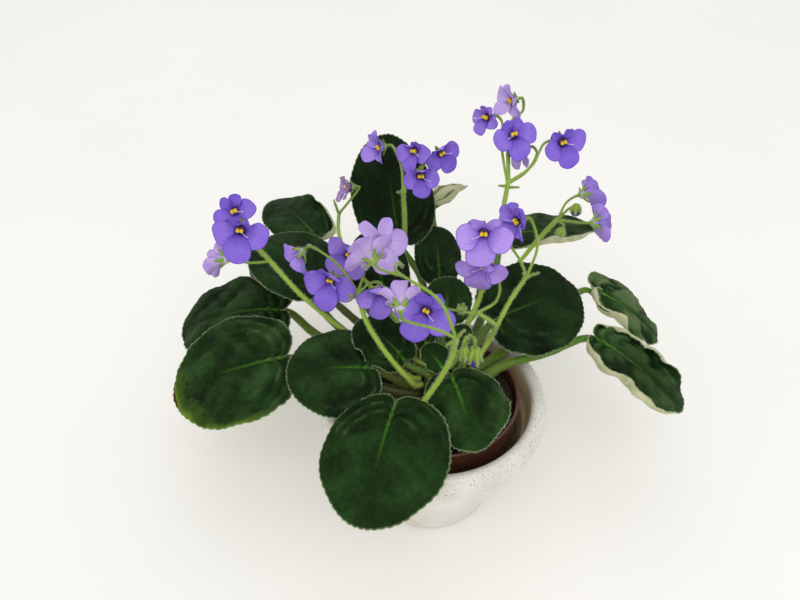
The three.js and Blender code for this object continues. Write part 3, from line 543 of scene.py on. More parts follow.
# Leaves
leafHabit = {
    "arch": 4, "cup": -2, "curlLeft": 0, "curlRight": 0, "wave": 0.8, "roll": 0, "point": 0.12, "lobe": 0.13,
    "lean": 0, "full": 0.1, "via": [], "petiole": 2.5, "olive": 0.25, "old": 0, "teeth": 52, "cells": 64,
    "relief": 1.0, "toneAndShade": 1.0, "ridgeSheen": 0, "pale": 0, "rolls": []}
leaves = {
    "leafFront": {
        "joint": (-21.6, -27.5, 102.5), "tip": (-37, -93, 90), "width": 65, "root": (229, 83.5),
        "roll": 4, "lean": 0.08, "full": 0.06, "petiole": 2.6, "point": 0.18, "relief": 1.15},
    "leafRightFront": {
        "joint": (10, -8.5, 101), "tip": (20, -50, 92), "width": 45, "root": (310, 88.9), "point": 0.3,
        "lobe": 0.2, "roll": 2, "arch": 3, "lean": 0.12, "toneAndShade": 1.2, "full": 0.06, "relief": 1.5,
        "wave": 1.3, "ridgeSheen": 0.1},
    "leafLeftFront": {
        "joint": (-34, -2, 103.5), "tip": (-81, -6, 102), "width": 57, "root": (183, 88.9), "arch": 3,
        "cup": -4, "roll": -11, "olive": 0.7, "toneAndShade": 0.95, "relief": 1.5, "ridgeSheen": 0.08},
    "leafFarLeft": {
        "joint": (-85, 12, 98), "tip": (-150, 3, 78), "width": 70, "root": (190, 83.5), "roll": -16,
        "via": [(-50, 2, 91)], "old": 1, "olive": 0.8, "relief": 1.4, "ridgeSheen": 0.08},
    "leafLeftUpper": {
        "joint": (-93, 57, 94), "tip": (-160, 60, 72), "width": 57, "root": (158, 83.5), "arch": 8,
        "roll": -14, "via": [(-44, 20, 88.5), (-72, 42, 89)], "olive": 0.5, "toneAndShade": 0.8, "relief": 2.1,
        "ridgeSheen": 0.25, "petiole": 2.8},
    "leafBackLeft": {
        "joint": (-74, 122, 99), "tip": (-112, 175, 99), "width": 47, "root": (124, 83.5), "curlRight": 6,
        "via": [(-33, 52, 90)], "olive": 0.8, "toneAndShade": 0.85, "rolls": [(-118, 62, 160)]},
    "leafLeftBack": {
        "joint": (-68, 62, 110), "tip": (-107, 99, 118), "width": 56, "root": (150, 94),
        "via": [(-45, 42, 98)], "olive": 0.8, "toneAndShade": 0.75},
    "leafUnderLeft": {
        "joint": (-81, 76, 100), "tip": (-115, 104, 99), "width": 38, "root": (143, 88.9),
        "via": [(-57, 45, 91)], "olive": 0.7, "toneAndShade": 0.7},
    "leafTallBack": {
        "joint": (-20, 104, 116), "tip": (-30, 162, 159), "width": 55, "root": (106, 88.9), "cup": 5,
        "arch": -3, "via": [(-2, 60, 92), (-6, 86, 98)], "toneAndShade": 0.5},
    "leafBackSmall": {
        "joint": (6, 74, 106), "tip": (4, 120, 113), "width": 30, "root": (76, 94), "toneAndShade": 0.6},
    "leafBackCentre": {
        "joint": (-28, 52, 107), "tip": (-38, 98, 125), "width": 38, "root": (122, 94), "toneAndShade": 0.6},
    "leafRight": {
        "joint": (36, 32, 108), "tip": (88, 52.5, 113), "width": 64, "root": (42, 88.9), "roll": 14,
        "toneAndShade": 0.7},
    "leafBackRight": {
        "joint": (54, 122, 103), "tip": (117, 137, 98), "width": 44, "root": (60, 83.5), "curlRight": 8,
        "via": [(28, 44, 89), (45, 98, 96)], "ridgeSheen": 0.4, "rolls": [(-75, 60, 120), (20, 40, 60)]},
    "leafFarBack": {
        "joint": (5, 131, 124), "tip": (27, 156, 122), "width": 22, "root": (92, 83.5), "curlRight": 6,
        "via": [(2, 60, 90), (5, 118, 103)], "rolls": [(-90, 80, 150)], "relief": 2.2, "pale": 1},
    "leafFarRightUpper": {
        "joint": (100, 63, 106), "tip": (143, 49, 77), "width": 44, "root": (28, 83.5), "curlRight": 5,
        "via": [(55, 36, 91), (80, 55, 98)], "olive": 0, "toneAndShade": 1.45, "relief": 2.2, "ridgeSheen": 0.9,
        "rolls": [(-135, 55, 140)]},
    "leafFarRight": {
        "joint": (94, 22, 103), "tip": (142, -7, 74), "width": 46, "root": (356, 83.5), "curlLeft": 6,
        "curlRight": 6, "via": [(39, 12, 90), (66, 18, 95)], "olive": 0, "toneAndShade": 1.1, "point": -0.35,
        "relief": 2.2, "wave": 1.2, "ridgeSheen": 0.25, "rolls": [(-85, 85, 125), (105, 62, 215)]},
    "leafYoungLeft": {
        "joint": (-17, 5, 103), "tip": (-43, 29, 110), "width": 34, "root": (200, 96.6), "petiole": 1.7,
        "wave": 2.6, "toneAndShade": 0.85, "relief": 1.3, "rolls": [(-100, 55, 110)]}}
heart = 0.45  # the middle that a leaf's outline turns about, as a share of its length
slit = {"span": 0.12, "depth": 0.22, "round": 0.5, "open": 0.008}  # between the two back lobes
veinCount = 6.5  # side veins along a blade
rollBand = 6.5  # how much of a margin rolls up
bladeThickness = 1.3
# How a blade is worked, in mm: the midrib's groove and the swelling between veins by height and reach
bladeRelief = {"midrib": (0.6, 1.7), "swelling": (0.42, 2.6), "ripple": 0.09, "wrinkle": 0.5, "scallop": 1.3}
# A blade's own hollows, six wide ones and eight small ones: how fast they wave, and how deep, at the most
hollowSorts = [(0.32, 0.36)] * 6 + [(0.7, 0.09)] * 8


def leafOutline(leaf, turn):
    # Two rounded back lobes close over the stalk and leave a slit that is hardly open
    c = np.cos(turn)
    gap = math.pi - np.abs(turn)
    within = np.clip(gap / slit["span"], 0, 1)
    beyond = np.clip((gap - slit["span"]) / slit["round"], 0, 1)
    back = slit["depth"] * within + (1 - slit["depth"]) * np.sqrt(1 - (1 - beyond) ** 2)
    past = np.maximum(gap - slit["span"], 0) * (math.pi / 2) / (math.pi / 2 - slit["span"])
    side = np.where(c < 0, slit["open"] * within + (1 - slit["open"]) * np.sin(past), np.abs(np.sin(turn)))
    reach = np.where(c > 0, 1 - heart, heart + leaf["lobe"])
    full = np.where(c < 0, 1 + leaf["full"] * np.sin(2 * turn) ** 2, 1)
    lean = 1 + leaf["lean"] * np.sign(turn)
    x = heart + reach * c * np.where(c < 0, 0.72 + 0.28 * back, 1) * full
    y = np.sign(turn) * side * (1 - leaf["point"] * np.maximum(0, c) ** 2) * full * lean
    return x * leaf["length"], y * leaf["width"] / 2


def veinPhase(leaf, x, y):
    # Whole numbers lie on the side veins, which bow forward from the midrib
    side = np.abs(y)
    return (x - 0.5 * side - 0.3 * side ** 2 / (leaf["width"] / 2)) / (leaf["length"] / veinCount)


def leafHeight(leaf, x, y, share, turn):
    u = np.clip(x / leaf["length"], 0, 1)
    v = 2 * y / leaf["width"]
    side = np.abs(v)
    curl = np.where(v > 0, leaf["curlLeft"], leaf["curlRight"])
    height = leaf["arch"] * 4 * u * (1 - u) + leaf["cup"] * side ** 2
    height += (0.5 if leaf["rolls"] else 1) * curl * side ** 4 * np.sin(math.pi * (0.15 + 0.7 * u))
    height += leaf["wave"] * np.sin(5 * math.pi * u + np.where(v > 0, 0, 2)) * side ** 3
    # a groove over the midrib, and a blade that puffs up between sunken side veins
    phase = veinPhase(leaf, x, y)
    away = np.abs(phase - np.round(phase)) * leaf["length"] / veinCount * 0.8
    off = smoothStep(np.abs(y), 0.8, 6)
    inner = 1 - share ** 10
    deep, broad = bladeRelief["midrib"]
    relief = -deep * np.exp(-(y / broad) ** 2) * (1 - 0.6 * u) * (0.3 + 0.7 * smoothStep(u, 0.15, 0.5))
    high, broad = bladeRelief["swelling"]
    relief += high * (1 - np.exp(-(away / broad) ** 2)) * off * inner
    relief += bladeRelief["ripple"] * np.cos(np.abs(y) * 1.25 + 2 * np.sin(phase * 2.1)) * off * inner
    # wrinkles that follow the margin round the two back lobes, some with a painted highlight on their crests
    lobes = smoothStep(np.abs(turn + leaf["drift"]), 1.3, 2.4) * smoothStep(share, 0.45, 0.7) * inner
    drift = leaf["drift"] * 9
    wander = 0.9 * np.sin(0.16 * x + 0.14 * y + drift) + 0.25 * np.sin(0.6 * x - 0.5 * y)
    wrinkle = np.sin(share * leaf["length"] * 0.55 + 1.5 * np.sin(2 * turn) + wander)
    relief += bladeRelief["wrinkle"] * wrinkle * lobes
    patch = np.sin(0.21 * x + 0.26 * y + drift) + np.sin(0.47 * y - 0.33 * x + 2 * drift)
    gleam = smoothStep(wrinkle, 0.78, 1.0) * lobes * smoothStep(patch, 0.0, 1.2)
    # slow hollows of its own, damped at the midrib
    for paceX, paceY, start, depth in leaf["hollows"]:
        relief += depth * np.sin(paceX * x + paceY * y + start) * (0.3 + 0.7 * smoothStep(np.abs(y), 1, 10))
    # painted highlight on the wrinkle crests, and a painted sheen on the raised parts of the relief
    bloom = gleam + leaf["ridgeSheen"] * smoothStep(relief, -0.2, 0.45)
    return height + relief * leaf["relief"], {"relief": relief * leaf["relief"], "bloom": bloom}


def rollMargins(leaf, x, y, z, share, turn, outX, outY):
    # Margins that roll up and over, so that the pale underside shows
    span = np.hypot(outX, outY)
    for centre, reach, angle in leaf["rolls"]:
        off = np.abs((turn - math.radians(centre) + math.pi) % (2 * math.pi) - math.pi)
        fading = smoothStep(off, math.radians(reach) * 0.55, math.radians(reach) * 1.15)
        full = np.maximum(math.radians(angle) * (1 - fading), 1e-3)
        beyond = np.maximum(0, share * span - (span - rollBand))
        bend = rollBand / full
        gone = bend * np.sin(beyond / bend) - beyond
        x, y = x + outX / span * gone, y + outY / span * gone
        z = z + bend * (1 - np.cos(beyond / bend))
    return x, y, z


def bladePoints(leaf, share, turn):
    rimX, rimY = leafOutline(leaf, turn)
    middle = heart * leaf["length"]
    scallop = 1 - np.abs(np.sin(turn * leaf["teeth"] / 2 + leaf["first"])) ** 0.7
    nearSlit = smoothStep(math.pi - np.abs(turn), 0.15, 0.5)
    bite = 1 - bladeRelief["scallop"] / leaf["length"] * scallop * nearSlit * share ** 12
    bite *= 1 + 0.012 * np.sin(3 * turn + leaf["first"]) + 0.008 * np.sin(7 * turn + 2 * leaf["first"])
    x = middle + (rimX - middle) * share * bite
    y = rimY * share * bite
    z, surface = leafHeight(leaf, x, y, share, turn)
    x, y, z = rollMargins(leaf, x, y, z, share, turn, rimX - middle, rimY)
    return np.stack([x, y, z], axis=1), surface


def leafAxes(joint, tip, roll):
    x = unit(np.subtract(tip, joint))
    y = unit(np.cross((0, 0, 1), x))
    z = np.cross(x, y)
    c, s = math.cos(math.radians(roll)), math.sin(math.radians(roll))
    return np.array([x, y * c + z * s, z * c - y * s])


def drawHollow(widest, deepest):
    paceX = chance.uniform(-1, 1) * widest
    paceY = chance.uniform(-1, 1) * widest
    start = chance.uniform(0, anyTurn)
    return paceX, paceY, start, chance.uniform(0.4, 1) * deepest


def prepareLeaf(spec):
    leaf = {**leafHabit, **spec}
    leaf["length"] = float(np.linalg.norm(np.subtract(leaf["tip"], leaf["joint"])))
    leaf["axes"] = leafAxes(leaf["joint"], leaf["tip"], leaf["roll"])
    leaf["first"] = chance.uniform(0, anyTurn)
    leaf["drift"] = chance.uniform(-0.5, 0.5)
    leaf["hollows"] = [drawHollow(*sort) for sort in hollowSorts]
    return leaf


def toWorld(leaf, local):
    return local @ leaf["axes"] + np.array(leaf["joint"])


def ageOf(leaf, x, y, share, turn):
    # Yellow at the margin of an old leaf, mottled further in and brown at one spot; streaks on a pale one
    spots = np.sin(x * 0.23 + 1) * np.sin(y * 0.31 + 2) + np.sin(x * 0.11 + y * 0.17)
    margin = smoothStep(share + 0.04 * spots, 0.91, 1.02) * smoothStep(np.cos(turn - 0.75), 0.1, 0.9)
    mottle = np.sin(0.9 * x + 1.3 * np.sin(0.7 * y)) * np.sin(0.8 * y + 1.1 * np.sin(0.5 * x))
    further = smoothStep(share + 0.12 * mottle, 0.62, 0.98) * smoothStep(np.cos(turn - 0.3), 0.6, 0.98)
    brown = smoothStep(share, 0.94, 0.99) * smoothStep(np.cos(turn - 0.08), 0.975, 0.995)
    streak = np.sin(0.75 * y + 0.1 * x + 0.9 * np.sin(0.3 * x) + 2.2)
    streaks = smoothStep(streak, 0.2, 0.85) * smoothStep(1 - share, 0.08, 0.35)
    return leaf["old"] * (0.75 * margin + 0.22 * further + 0.45 * brown) + 0.85 * leaf["pale"] * streaks


def makeBlade(leaf):
    kept = {"toneAndShade": leaf["toneAndShade"]}

    def place(a, b):
        share, turn = discOf(a, b)
        local, surface = bladePoints(leaf, share, turn)
        x, y, _ = local.T
        kept.update(surface, edge=share, age=ageOf(leaf, x, y, share, turn))
        kept["veins"] = np.stack([veinPhase(leaf, x, y), np.abs(y), x / leaf["length"]], axis=1)
        return toWorld(leaf, local)

    blade = gridPiece("blade", leaf["cells"], leaf["cells"], place, kept)
    thicken(blade, bladeThickness, 1 - 0.55 * kept["edge"] ** 6, leafFinish, 0 if leaf["pale"] else 1)
    if leaf["pale"]:  # a leaf that turns its back to the camera
        blade.data.polygons.foreach_set("material_index", [1] * len(blade.data.polygons))
    return blade


def rimHairs(leaf, perMm, longest, material):
    count = int(perMm * 2.9 * (leaf["length"] + leaf["width"]) / 2)  # the rim is about 2.9 diameters long
    turn = chance.uniform(-math.pi, math.pi, count)
    edge = toWorld(leaf, bladePoints(leaf, np.ones(count), turn)[0])
    inner = toWorld(leaf, bladePoints(leaf, np.full(count, 0.96), turn)[0])
    out = edge - inner
    out /= np.maximum(np.linalg.norm(out, axis=1), 1e-6)[:, None]
    up = leaf["axes"][2]
    ways = out + up * chance.uniform(-0.35, 0.5, count)[:, None] + chance.normal(0, 0.22, (count, 3))
    roots = edge - out * 0.15 + up * chance.uniform(-0.25, 0.25, count)[:, None]
    return hairPiece(roots, ways, longest * chance.uniform(0.45, 1, count), 0.07, material)


crown = {"centre": (3, -1), "radius": 9.6, "top": 96, "foot": 66, "topRing": 5, "gap": 0.5}


def crownSide(azimuth, z):
    # The first two points of a stem that leaves the crown at an azimuth and a height
    way = np.array([math.cos(math.radians(azimuth)), math.sin(math.radians(azimuth))])

    def at(radius, height):
        return (*(np.array(crown["centre"]) + way * radius), height)

    if z > crown["top"]:
        return [at(crown["topRing"], z), at(crown["topRing"] + 0.1, z + 2)]
    first = crown["radius"] + crown["gap"]
    return [at(first, z), at(first + 4.5, z + 0.4)]


def petioleOf(leaf):
    # The leaf stalk runs on under the blade and thins out into the midrib
    def under(share, drop):
        height = leaf["arch"] * 4 * max(share, 0) * (1 - max(share, 0))
        return toWorld(leaf, np.array([share * leaf["length"], 0, height - drop]))

    r = leaf["petiole"]
    end = [under(-0.04, r + 0.9), under(0.12, r * 0.9 + 2.2), under(0.3, r * 0.35 + 2.0)]
    points = [*crownSide(*leaf["root"]), *leaf["via"], *end]
    return makeStem(points, [r * 1.5, r * 1.3, r, r * 0.95, r * 0.85, r * 0.35])


for name, spec in leaves.items():
    leaf = prepareLeaf(spec)
    blade = makeBlade(leaf)
    petiole = petioleOf(leaf)
    parts = [
        blade, stemPiece(petiole, 12, 2, facts={"tint": leaf["olive"]}), rimHairs(leaf, 6, 1.2, 3),
        stemHairs(petiole, 7, 1.3, 4, span=(0.02, 0.86))]
    settle(joinPieces(name, parts, leafFinish), nodeOf(name))
print("leaves made:", len(leaves))


# Crown with its young leaves
youngHabit = {"arch": 1, "cup": 1.5, "wave": 1.8, "teeth": 26, "cells": 36, "relief": 0.6, "toneAndShade": 1.2}
youngLeaves = [
    {"joint": (4, -1, 103), "tip": (-6, 7, 112), "width": 17, "roll": -10, "foot": (1, -1, 95)},
    {"joint": (10, 15, 104), "tip": (21, 22, 112), "width": 14, "roll": 10, "foot": (6, 1, 95)},
    {"joint": (-4, 15, 104), "tip": (-10, 27, 114), "width": 15, "foot": (3, 2, 95)},
    {"joint": (8, 37, 104), "tip": (11, 60, 118), "width": 30, "foot": (5, 2, 95), "arch": 3, "cup": -1}]
parts = []
for spec in youngLeaves:
    leaf = prepareLeaf({**youngHabit, **spec})
    parts.append(makeBlade(leaf))
    foot, joint, tip = (np.array(leaf[k], float) for k in ("foot", "joint", "tip"))
    bend = foot + (joint - foot) * 0.6 + (0, 0, 1.5)
    stem = makeStem([foot, bend, joint + (tip - joint) * 0.15], [1.3, 1.2, 1.1, 0.5])
    parts += [
        stemPiece(stem, 8, 2, facts={"tint": 0.1}), rimHairs(leaf, 7, 1.1, 3), stemHairs(stem, 8, 1.2, 4)]
core = makeStem(
    [(*crown["centre"], height) for height in (crown["foot"], 80, 90, crown["top"])],
    [crown["radius"]] * 4 + [9.4, 6.5])
parts.append(stemPiece(core, 28, 2, facts={"tint": 0.6}))
settle(joinPieces("youngCrown", parts, leafFinish), "crown")
print("crown made")


# Flowers
petalSizes = {"upper": (11.0, 9.4), "side": (14.8, 14.8), "lower": (17.2, 15.2)}
petalTones = {"upper": -0.05, "side": 0.12, "lower": 0.02}
petalPlan = [  # which petal, its angle in the flower, and how far it lies in front
    ("side", -14, 0.0), ("upper", 60, 0.35), ("upper", 120, 0.2), ("side", 194, 0.15), ("lower", 270, 0.3)]
petalShape = {
    "base": 0.07, "widest": 0.56, "waist": 0.58,  # shares of its length, and how much it narrows to the base
    "dish": 0.08, "ruffles": (0.5, 0.22), "crease": 0.15, "throat": 2.0, "thickness": 0.45}
flowerHabit = {"turn": 0, "nod": 0, "chin": 0, "crest": 1, "tall": 1, "tone": 0, "look": "violet"}
flowers = {
    "bloomLeft1": {
        "at": (-111, 59, 166), "face": (-8, 32), "turn": 25, "size": 0.85, "cup": 12, "nod": 25,
        "tone": 0.05},
    "bloomLeft2": {
        "at": (-101, 28, 175), "face": (-5, 24), "turn": -5, "size": 1, "cup": 15, "nod": 60,
        "tone": 0.1},
    "bloomLeft3": {"at": (-117, 41, 146), "face": (-115, -8), "size": 0.85, "cup": 35, "look": "pale"},
    "bloomMiddle1": {
        "at": (-77, 58, 137), "face": (-78, -42), "size": 0.9, "cup": 30, "crest": 1.2, "tone": 0.25},
    "bloomMiddle2": {
        "at": (-58, 40, 132), "face": (-22, 18), "size": 1.05, "cup": 18, "nod": 60, "tone": 0.12},
    "bloomMiddle3": {
        "at": (-48, 58, 136), "face": (-30, 15), "turn": -40, "size": 1, "cup": 18, "nod": 20,
        "tone": 0.45},
    "bloomMiddle4": {
        "at": (-30, 28, 134), "face": (0, 0), "size": 0.95, "cup": 25, "nod": 45, "tone": 0.35},
    "bloomFront1": {
        "at": (-30, 51, 150.5), "face": (5, 22), "turn": 10, "size": 1.05, "cup": 15, "tall": 1.4,
        "crest": 0.9, "look": "pale"},
    "bloomFront2": {
        "at": (-33, 10, 170), "face": (-150, 15), "turn": 150, "size": 1.0, "cup": 18, "look": "pale"},
    "bloomFront3": {
        "at": (-19, -14, 160), "face": (-172, 28), "turn": 180, "size": 0.85, "cup": 38, "look": "pale"},
    "bloomCentre1": {"at": (23, 18, 180), "face": (-8, 20), "size": 1, "cup": 12, "nod": 55, "tone": 0.75},
    "bloomCentre2": {
        "at": (26, 29, 151), "face": (-5, -8), "turn": -15, "size": 1, "cup": 15, "nod": 75,
        "tone": 0.75},
    "bloomCentre3": {
        "at": (42, 30, 179), "face": (-64, 2), "turn": -12, "size": 0.88, "cup": 20, "chin": 45,
        "crest": 1.6, "tone": 0.35},
    "bloomCentre4": {
        "at": (-5, 5, 140), "face": (-10, 28), "turn": -20, "size": 1.1, "cup": 15, "nod": 20,
        "tone": 0.1},
    "bloomBack1": {
        "at": (-31, 128, 168), "face": (-64, 2), "turn": -12, "size": 0.92, "cup": 20, "chin": 45,
        "crest": 1.6, "tone": 0.55},
    "bloomBack2": {
        "at": (-10, 107, 177), "face": (-40, 22), "turn": 15, "size": 0.8, "cup": 18, "nod": 65,
        "tone": 0.15},
    "bloomBack3": {
        "at": (6, 113, 172), "face": (22, 22), "turn": 25, "size": 0.78, "cup": 14, "nod": 75,
        "tone": 0.05},
    "bloomBack4": {"at": (-7, 87, 172), "face": (5, 12), "size": 0.8, "cup": 20, "nod": 60, "tone": 0.15},
    "bloomOld": {"at": (-50, 100, 156), "face": (-70, 10), "size": 0.7, "cup": 25, "look": "faded"},
    "bloomTall1": {
        "at": (47, 118, 204), "face": (-66, 0), "turn": -12, "size": 0.85, "cup": 22, "chin": 45,
        "crest": 1.5, "look": "pale"},
    "bloomTall2": {"at": (32, 111, 197), "face": (-50, 10), "size": 0.65, "cup": 20, "tone": 0.3},
    "bloomTall3": {
        "at": (45, 91, 196), "face": (5, 45), "turn": 15, "size": 0.88, "cup": 8, "nod": 40, "tone": 0.1},
    "bloomTall4": {"at": (52, 94, 184), "face": (-60, -10), "size": 0.7, "cup": 25, "look": "pale"},
    "bloomTall5": {
        "at": (73, 90, 192), "face": (15, 18), "turn": 12, "size": 0.92, "cup": 20, "nod": 50,
        "tone": 0.05},
    "bloomRight1": {
        "at": (94, 99, 152), "face": (116, 2), "turn": -10, "size": 0.95, "cup": 32, "crest": 1.3,
        "tone": 0.15},
    "bloomRight2": {
        "at": (97, 74, 148), "face": (106, -6), "turn": 24, "size": 0.9, "cup": 30, "crest": 1.3,
        "tone": 0.3}}
flowers = {name: {**flowerHabit, **spec} for name, spec in flowers.items()}


def flowerAxes(flower):
    azimuth, height = (math.radians(v) for v in flower["face"])
    flat = math.cos(height)
    z = np.array([math.sin(azimuth) * flat, -math.cos(azimuth) * flat, math.sin(height)])
    x = unit(np.cross((0, 0, 1), z))
    y = np.cross(z, x)
    turn = math.radians(flower["turn"])
    c, s = math.cos(turn), math.sin(turn)
    return np.array([x * c + y * s, y * c - x * s, z])


def fromFlower(flower, local):
    return np.asarray(local) @ flowerAxes(flower) + np.array(flower["at"])


def turnAbout(angle, along, across):
    # Lays a petal or a sepal round the flower's middle
    c, s = math.cos(angle), math.sin(angle)
    return along * c - across * s, along * s + across * c


def bendPetal(flower, kind, x, y, lift):
    # A petal rises by the cup, then the upper pair nods forward and the chin comes up to it
    radius = np.maximum(np.hypot(x, y), 1e-6)
    rise = math.radians(flower["cup"])
    spread = (radius * math.cos(rise) - lift * math.sin(rise)) / radius
    height = radius * math.sin(rise) + lift * math.cos(rise)
    x, y = x * spread, y * spread
    way, bendName = (1, "nod") if kind == "upper" else (-1, "chin")
    full = math.radians(flower[bendName])
    if full:
        start, span = 2.0, 4
        beyond = way * y - start
        bend = span / full
        turn = full * np.clip(beyond / span, 0, 1)
        past = np.maximum(0, beyond - span)
        newY = start + (bend - height) * np.sin(turn) + past * np.cos(turn)
        newZ = bend - (bend - height) * np.cos(turn) + past * np.sin(turn)
        y, height = np.where(beyond > 0, way * newY, y), np.where(beyond > 0, newZ, height)
    return np.stack([x, y, height], axis=1)


def makePetal(flower, finish, kind, angle, front):
    tall, crest = (flower["tall"], flower["crest"]) if kind == "upper" else (1, 1)
    length, width = (v * flower["size"] for v in petalSizes[kind])
    length *= chance.uniform(0.96, 1.05) * tall
    width *= chance.uniform(0.96, 1.06) * crest
    angle = math.radians(angle + chance.uniform(-3, 3))
    ruffle = chance.uniform(0, anyTurn, 3)
    curl = chance.uniform(-0.9, 1.5)
    tilt = chance.uniform(-0.16, 0.16)
    twist = chance.uniform(-0.12, 0.12)
    skew = chance.uniform(-0.09, 0.09)
    kept = {"tone": min(1, max(0, flower["tone"] + petalTones[kind]))}
    base, widest = petalShape["base"], petalShape["widest"]
    broad, fine = petalShape["ruffles"]

    def place(a, b):
        share, turn = discOf(a, b)
        c, s = np.cos(turn), np.sin(turn)
        x = widest + np.where(c > 0, 1 - widest, widest - base) * np.sign(c) * np.abs(c) ** 0.9 * share
        wide = np.sign(s) * np.abs(s) ** 0.9
        y = 0.5 * wide * share * (1 - petalShape["waist"] * np.maximum(0, -c) ** 1.2)
        x += 0.014 * np.sin(4 * turn + ruffle[2]) * share ** 3
        along, across = x * length, y * width + skew * x * x * length
        # dished, ruffled, tilted, curled at the end, creased down the middle and drawn into the throat
        lift = petalShape["dish"] * length * (4 * y ** 2 - x ** 2) + front * smoothStep(x, 0.1, 0.4)
        lift += broad * np.sin(3 * turn + ruffle[0]) * share ** 3
        lift += fine * np.sin(6 * turn + ruffle[1]) * share ** 4
        lift += (along * tilt + across * twist) * smoothStep(x, 0.05, 0.4)
        lift -= curl * smoothStep(x, 0.6, 1.05)
        lift -= petalShape["crease"] * np.exp(-(across / 0.9) ** 2) * smoothStep(x, 0.1, 0.5)
        lift -= petalShape["throat"] * np.exp(-(along / 2.4) ** 2)
        kept["petal"] = np.stack([x, y, np.full(len(x), ruffle[0])], axis=1)
        kept["edge"] = share
        return fromFlower(flower, bendPetal(flower, kind, *turnAbout(angle, along, across), lift))

    petal = gridPiece("petal", 18, 18, place, kept)
    return thicken(petal, petalShape["thickness"], 1 - 0.5 * kept["edge"] ** 4, finish, 1)


def antherShape(flower, side):
    def place(p):
        plump = 1 - 0.28 * np.exp(-(p[:, 0] / 0.35) ** 2) * (p[:, 2] > 0)  # a slit down each lobe
        return fromFlower(flower, p * (1.0, 1.35, 1.6) * plump[:, None] + (side * 0.98, -0.3, 1.7))

    return place


def axisStem(flower, heights, radii):
    # A stem along the flower's own axis
    return makeStem([fromFlower(flower, (0, 0, z)) for z in heights], radii)


def petalFacts(reach):
    # What a small plain part needs to wear a petal's material
    return {"petal": (reach, 0.1, 1.0), "edge": 0.3, "tone": 0.0}


petalPairs = {
    "violet": ["violetPetal", "violetBack"], "pale": ["palePetal", "petalBack"],
    "faded": ["fadedPetal", "fadedPetal"]}
for name, flower in flowers.items():
    # by number: 0 petal, 1 its back, 2 throat, 3 anther, 4 style
    finish = [petalSkins[skin] for skin in petalPairs[flower["look"]]] + [throatShadeSkin, antherSkin, styleSkin]
    parts = [makePetal(flower, finish, *petal) for petal in petalPlan]
    # the throat: a dark ball of painted shade deep in the flower's middle
    parts.append(ballPiece(2, 2, lambda p: fromFlower(flower, p * (2.3, 2.3, 0.9) + (0, 0, -0.9))))
    tube = axisStem(flower, (-3.6, -2.2, -0.9), [1.3, 2.2, 2.9])
    parts.append(stemPiece(tube, 14, 1, step=0.6, facts=petalFacts(0.1)))
    parts += [ballPiece(3, 3, antherShape(flower, side)) for side in (-1, 1)]
    lean = random.choice((-1, 1)) * random.uniform(3.2, 4.4)
    bow = [(0, -0.6, 0.4), (lean * 0.45, -1.2, 2.6), (lean, -2.2, 3.6), (lean * 1.45, -2.6, 4.4)]
    style = makeStem([fromFlower(flower, p) for p in bow], [0.26, 0.2, 0.18, 0.34])
    parts.append(stemPiece(style, 6, 4, step=0.9))
    slot = "pale_petal" if flower["look"] == "pale" else "petal"
    settle(joinPieces(name, parts, finish), nodeOf(name))
print("flowers made:", len(flowers))


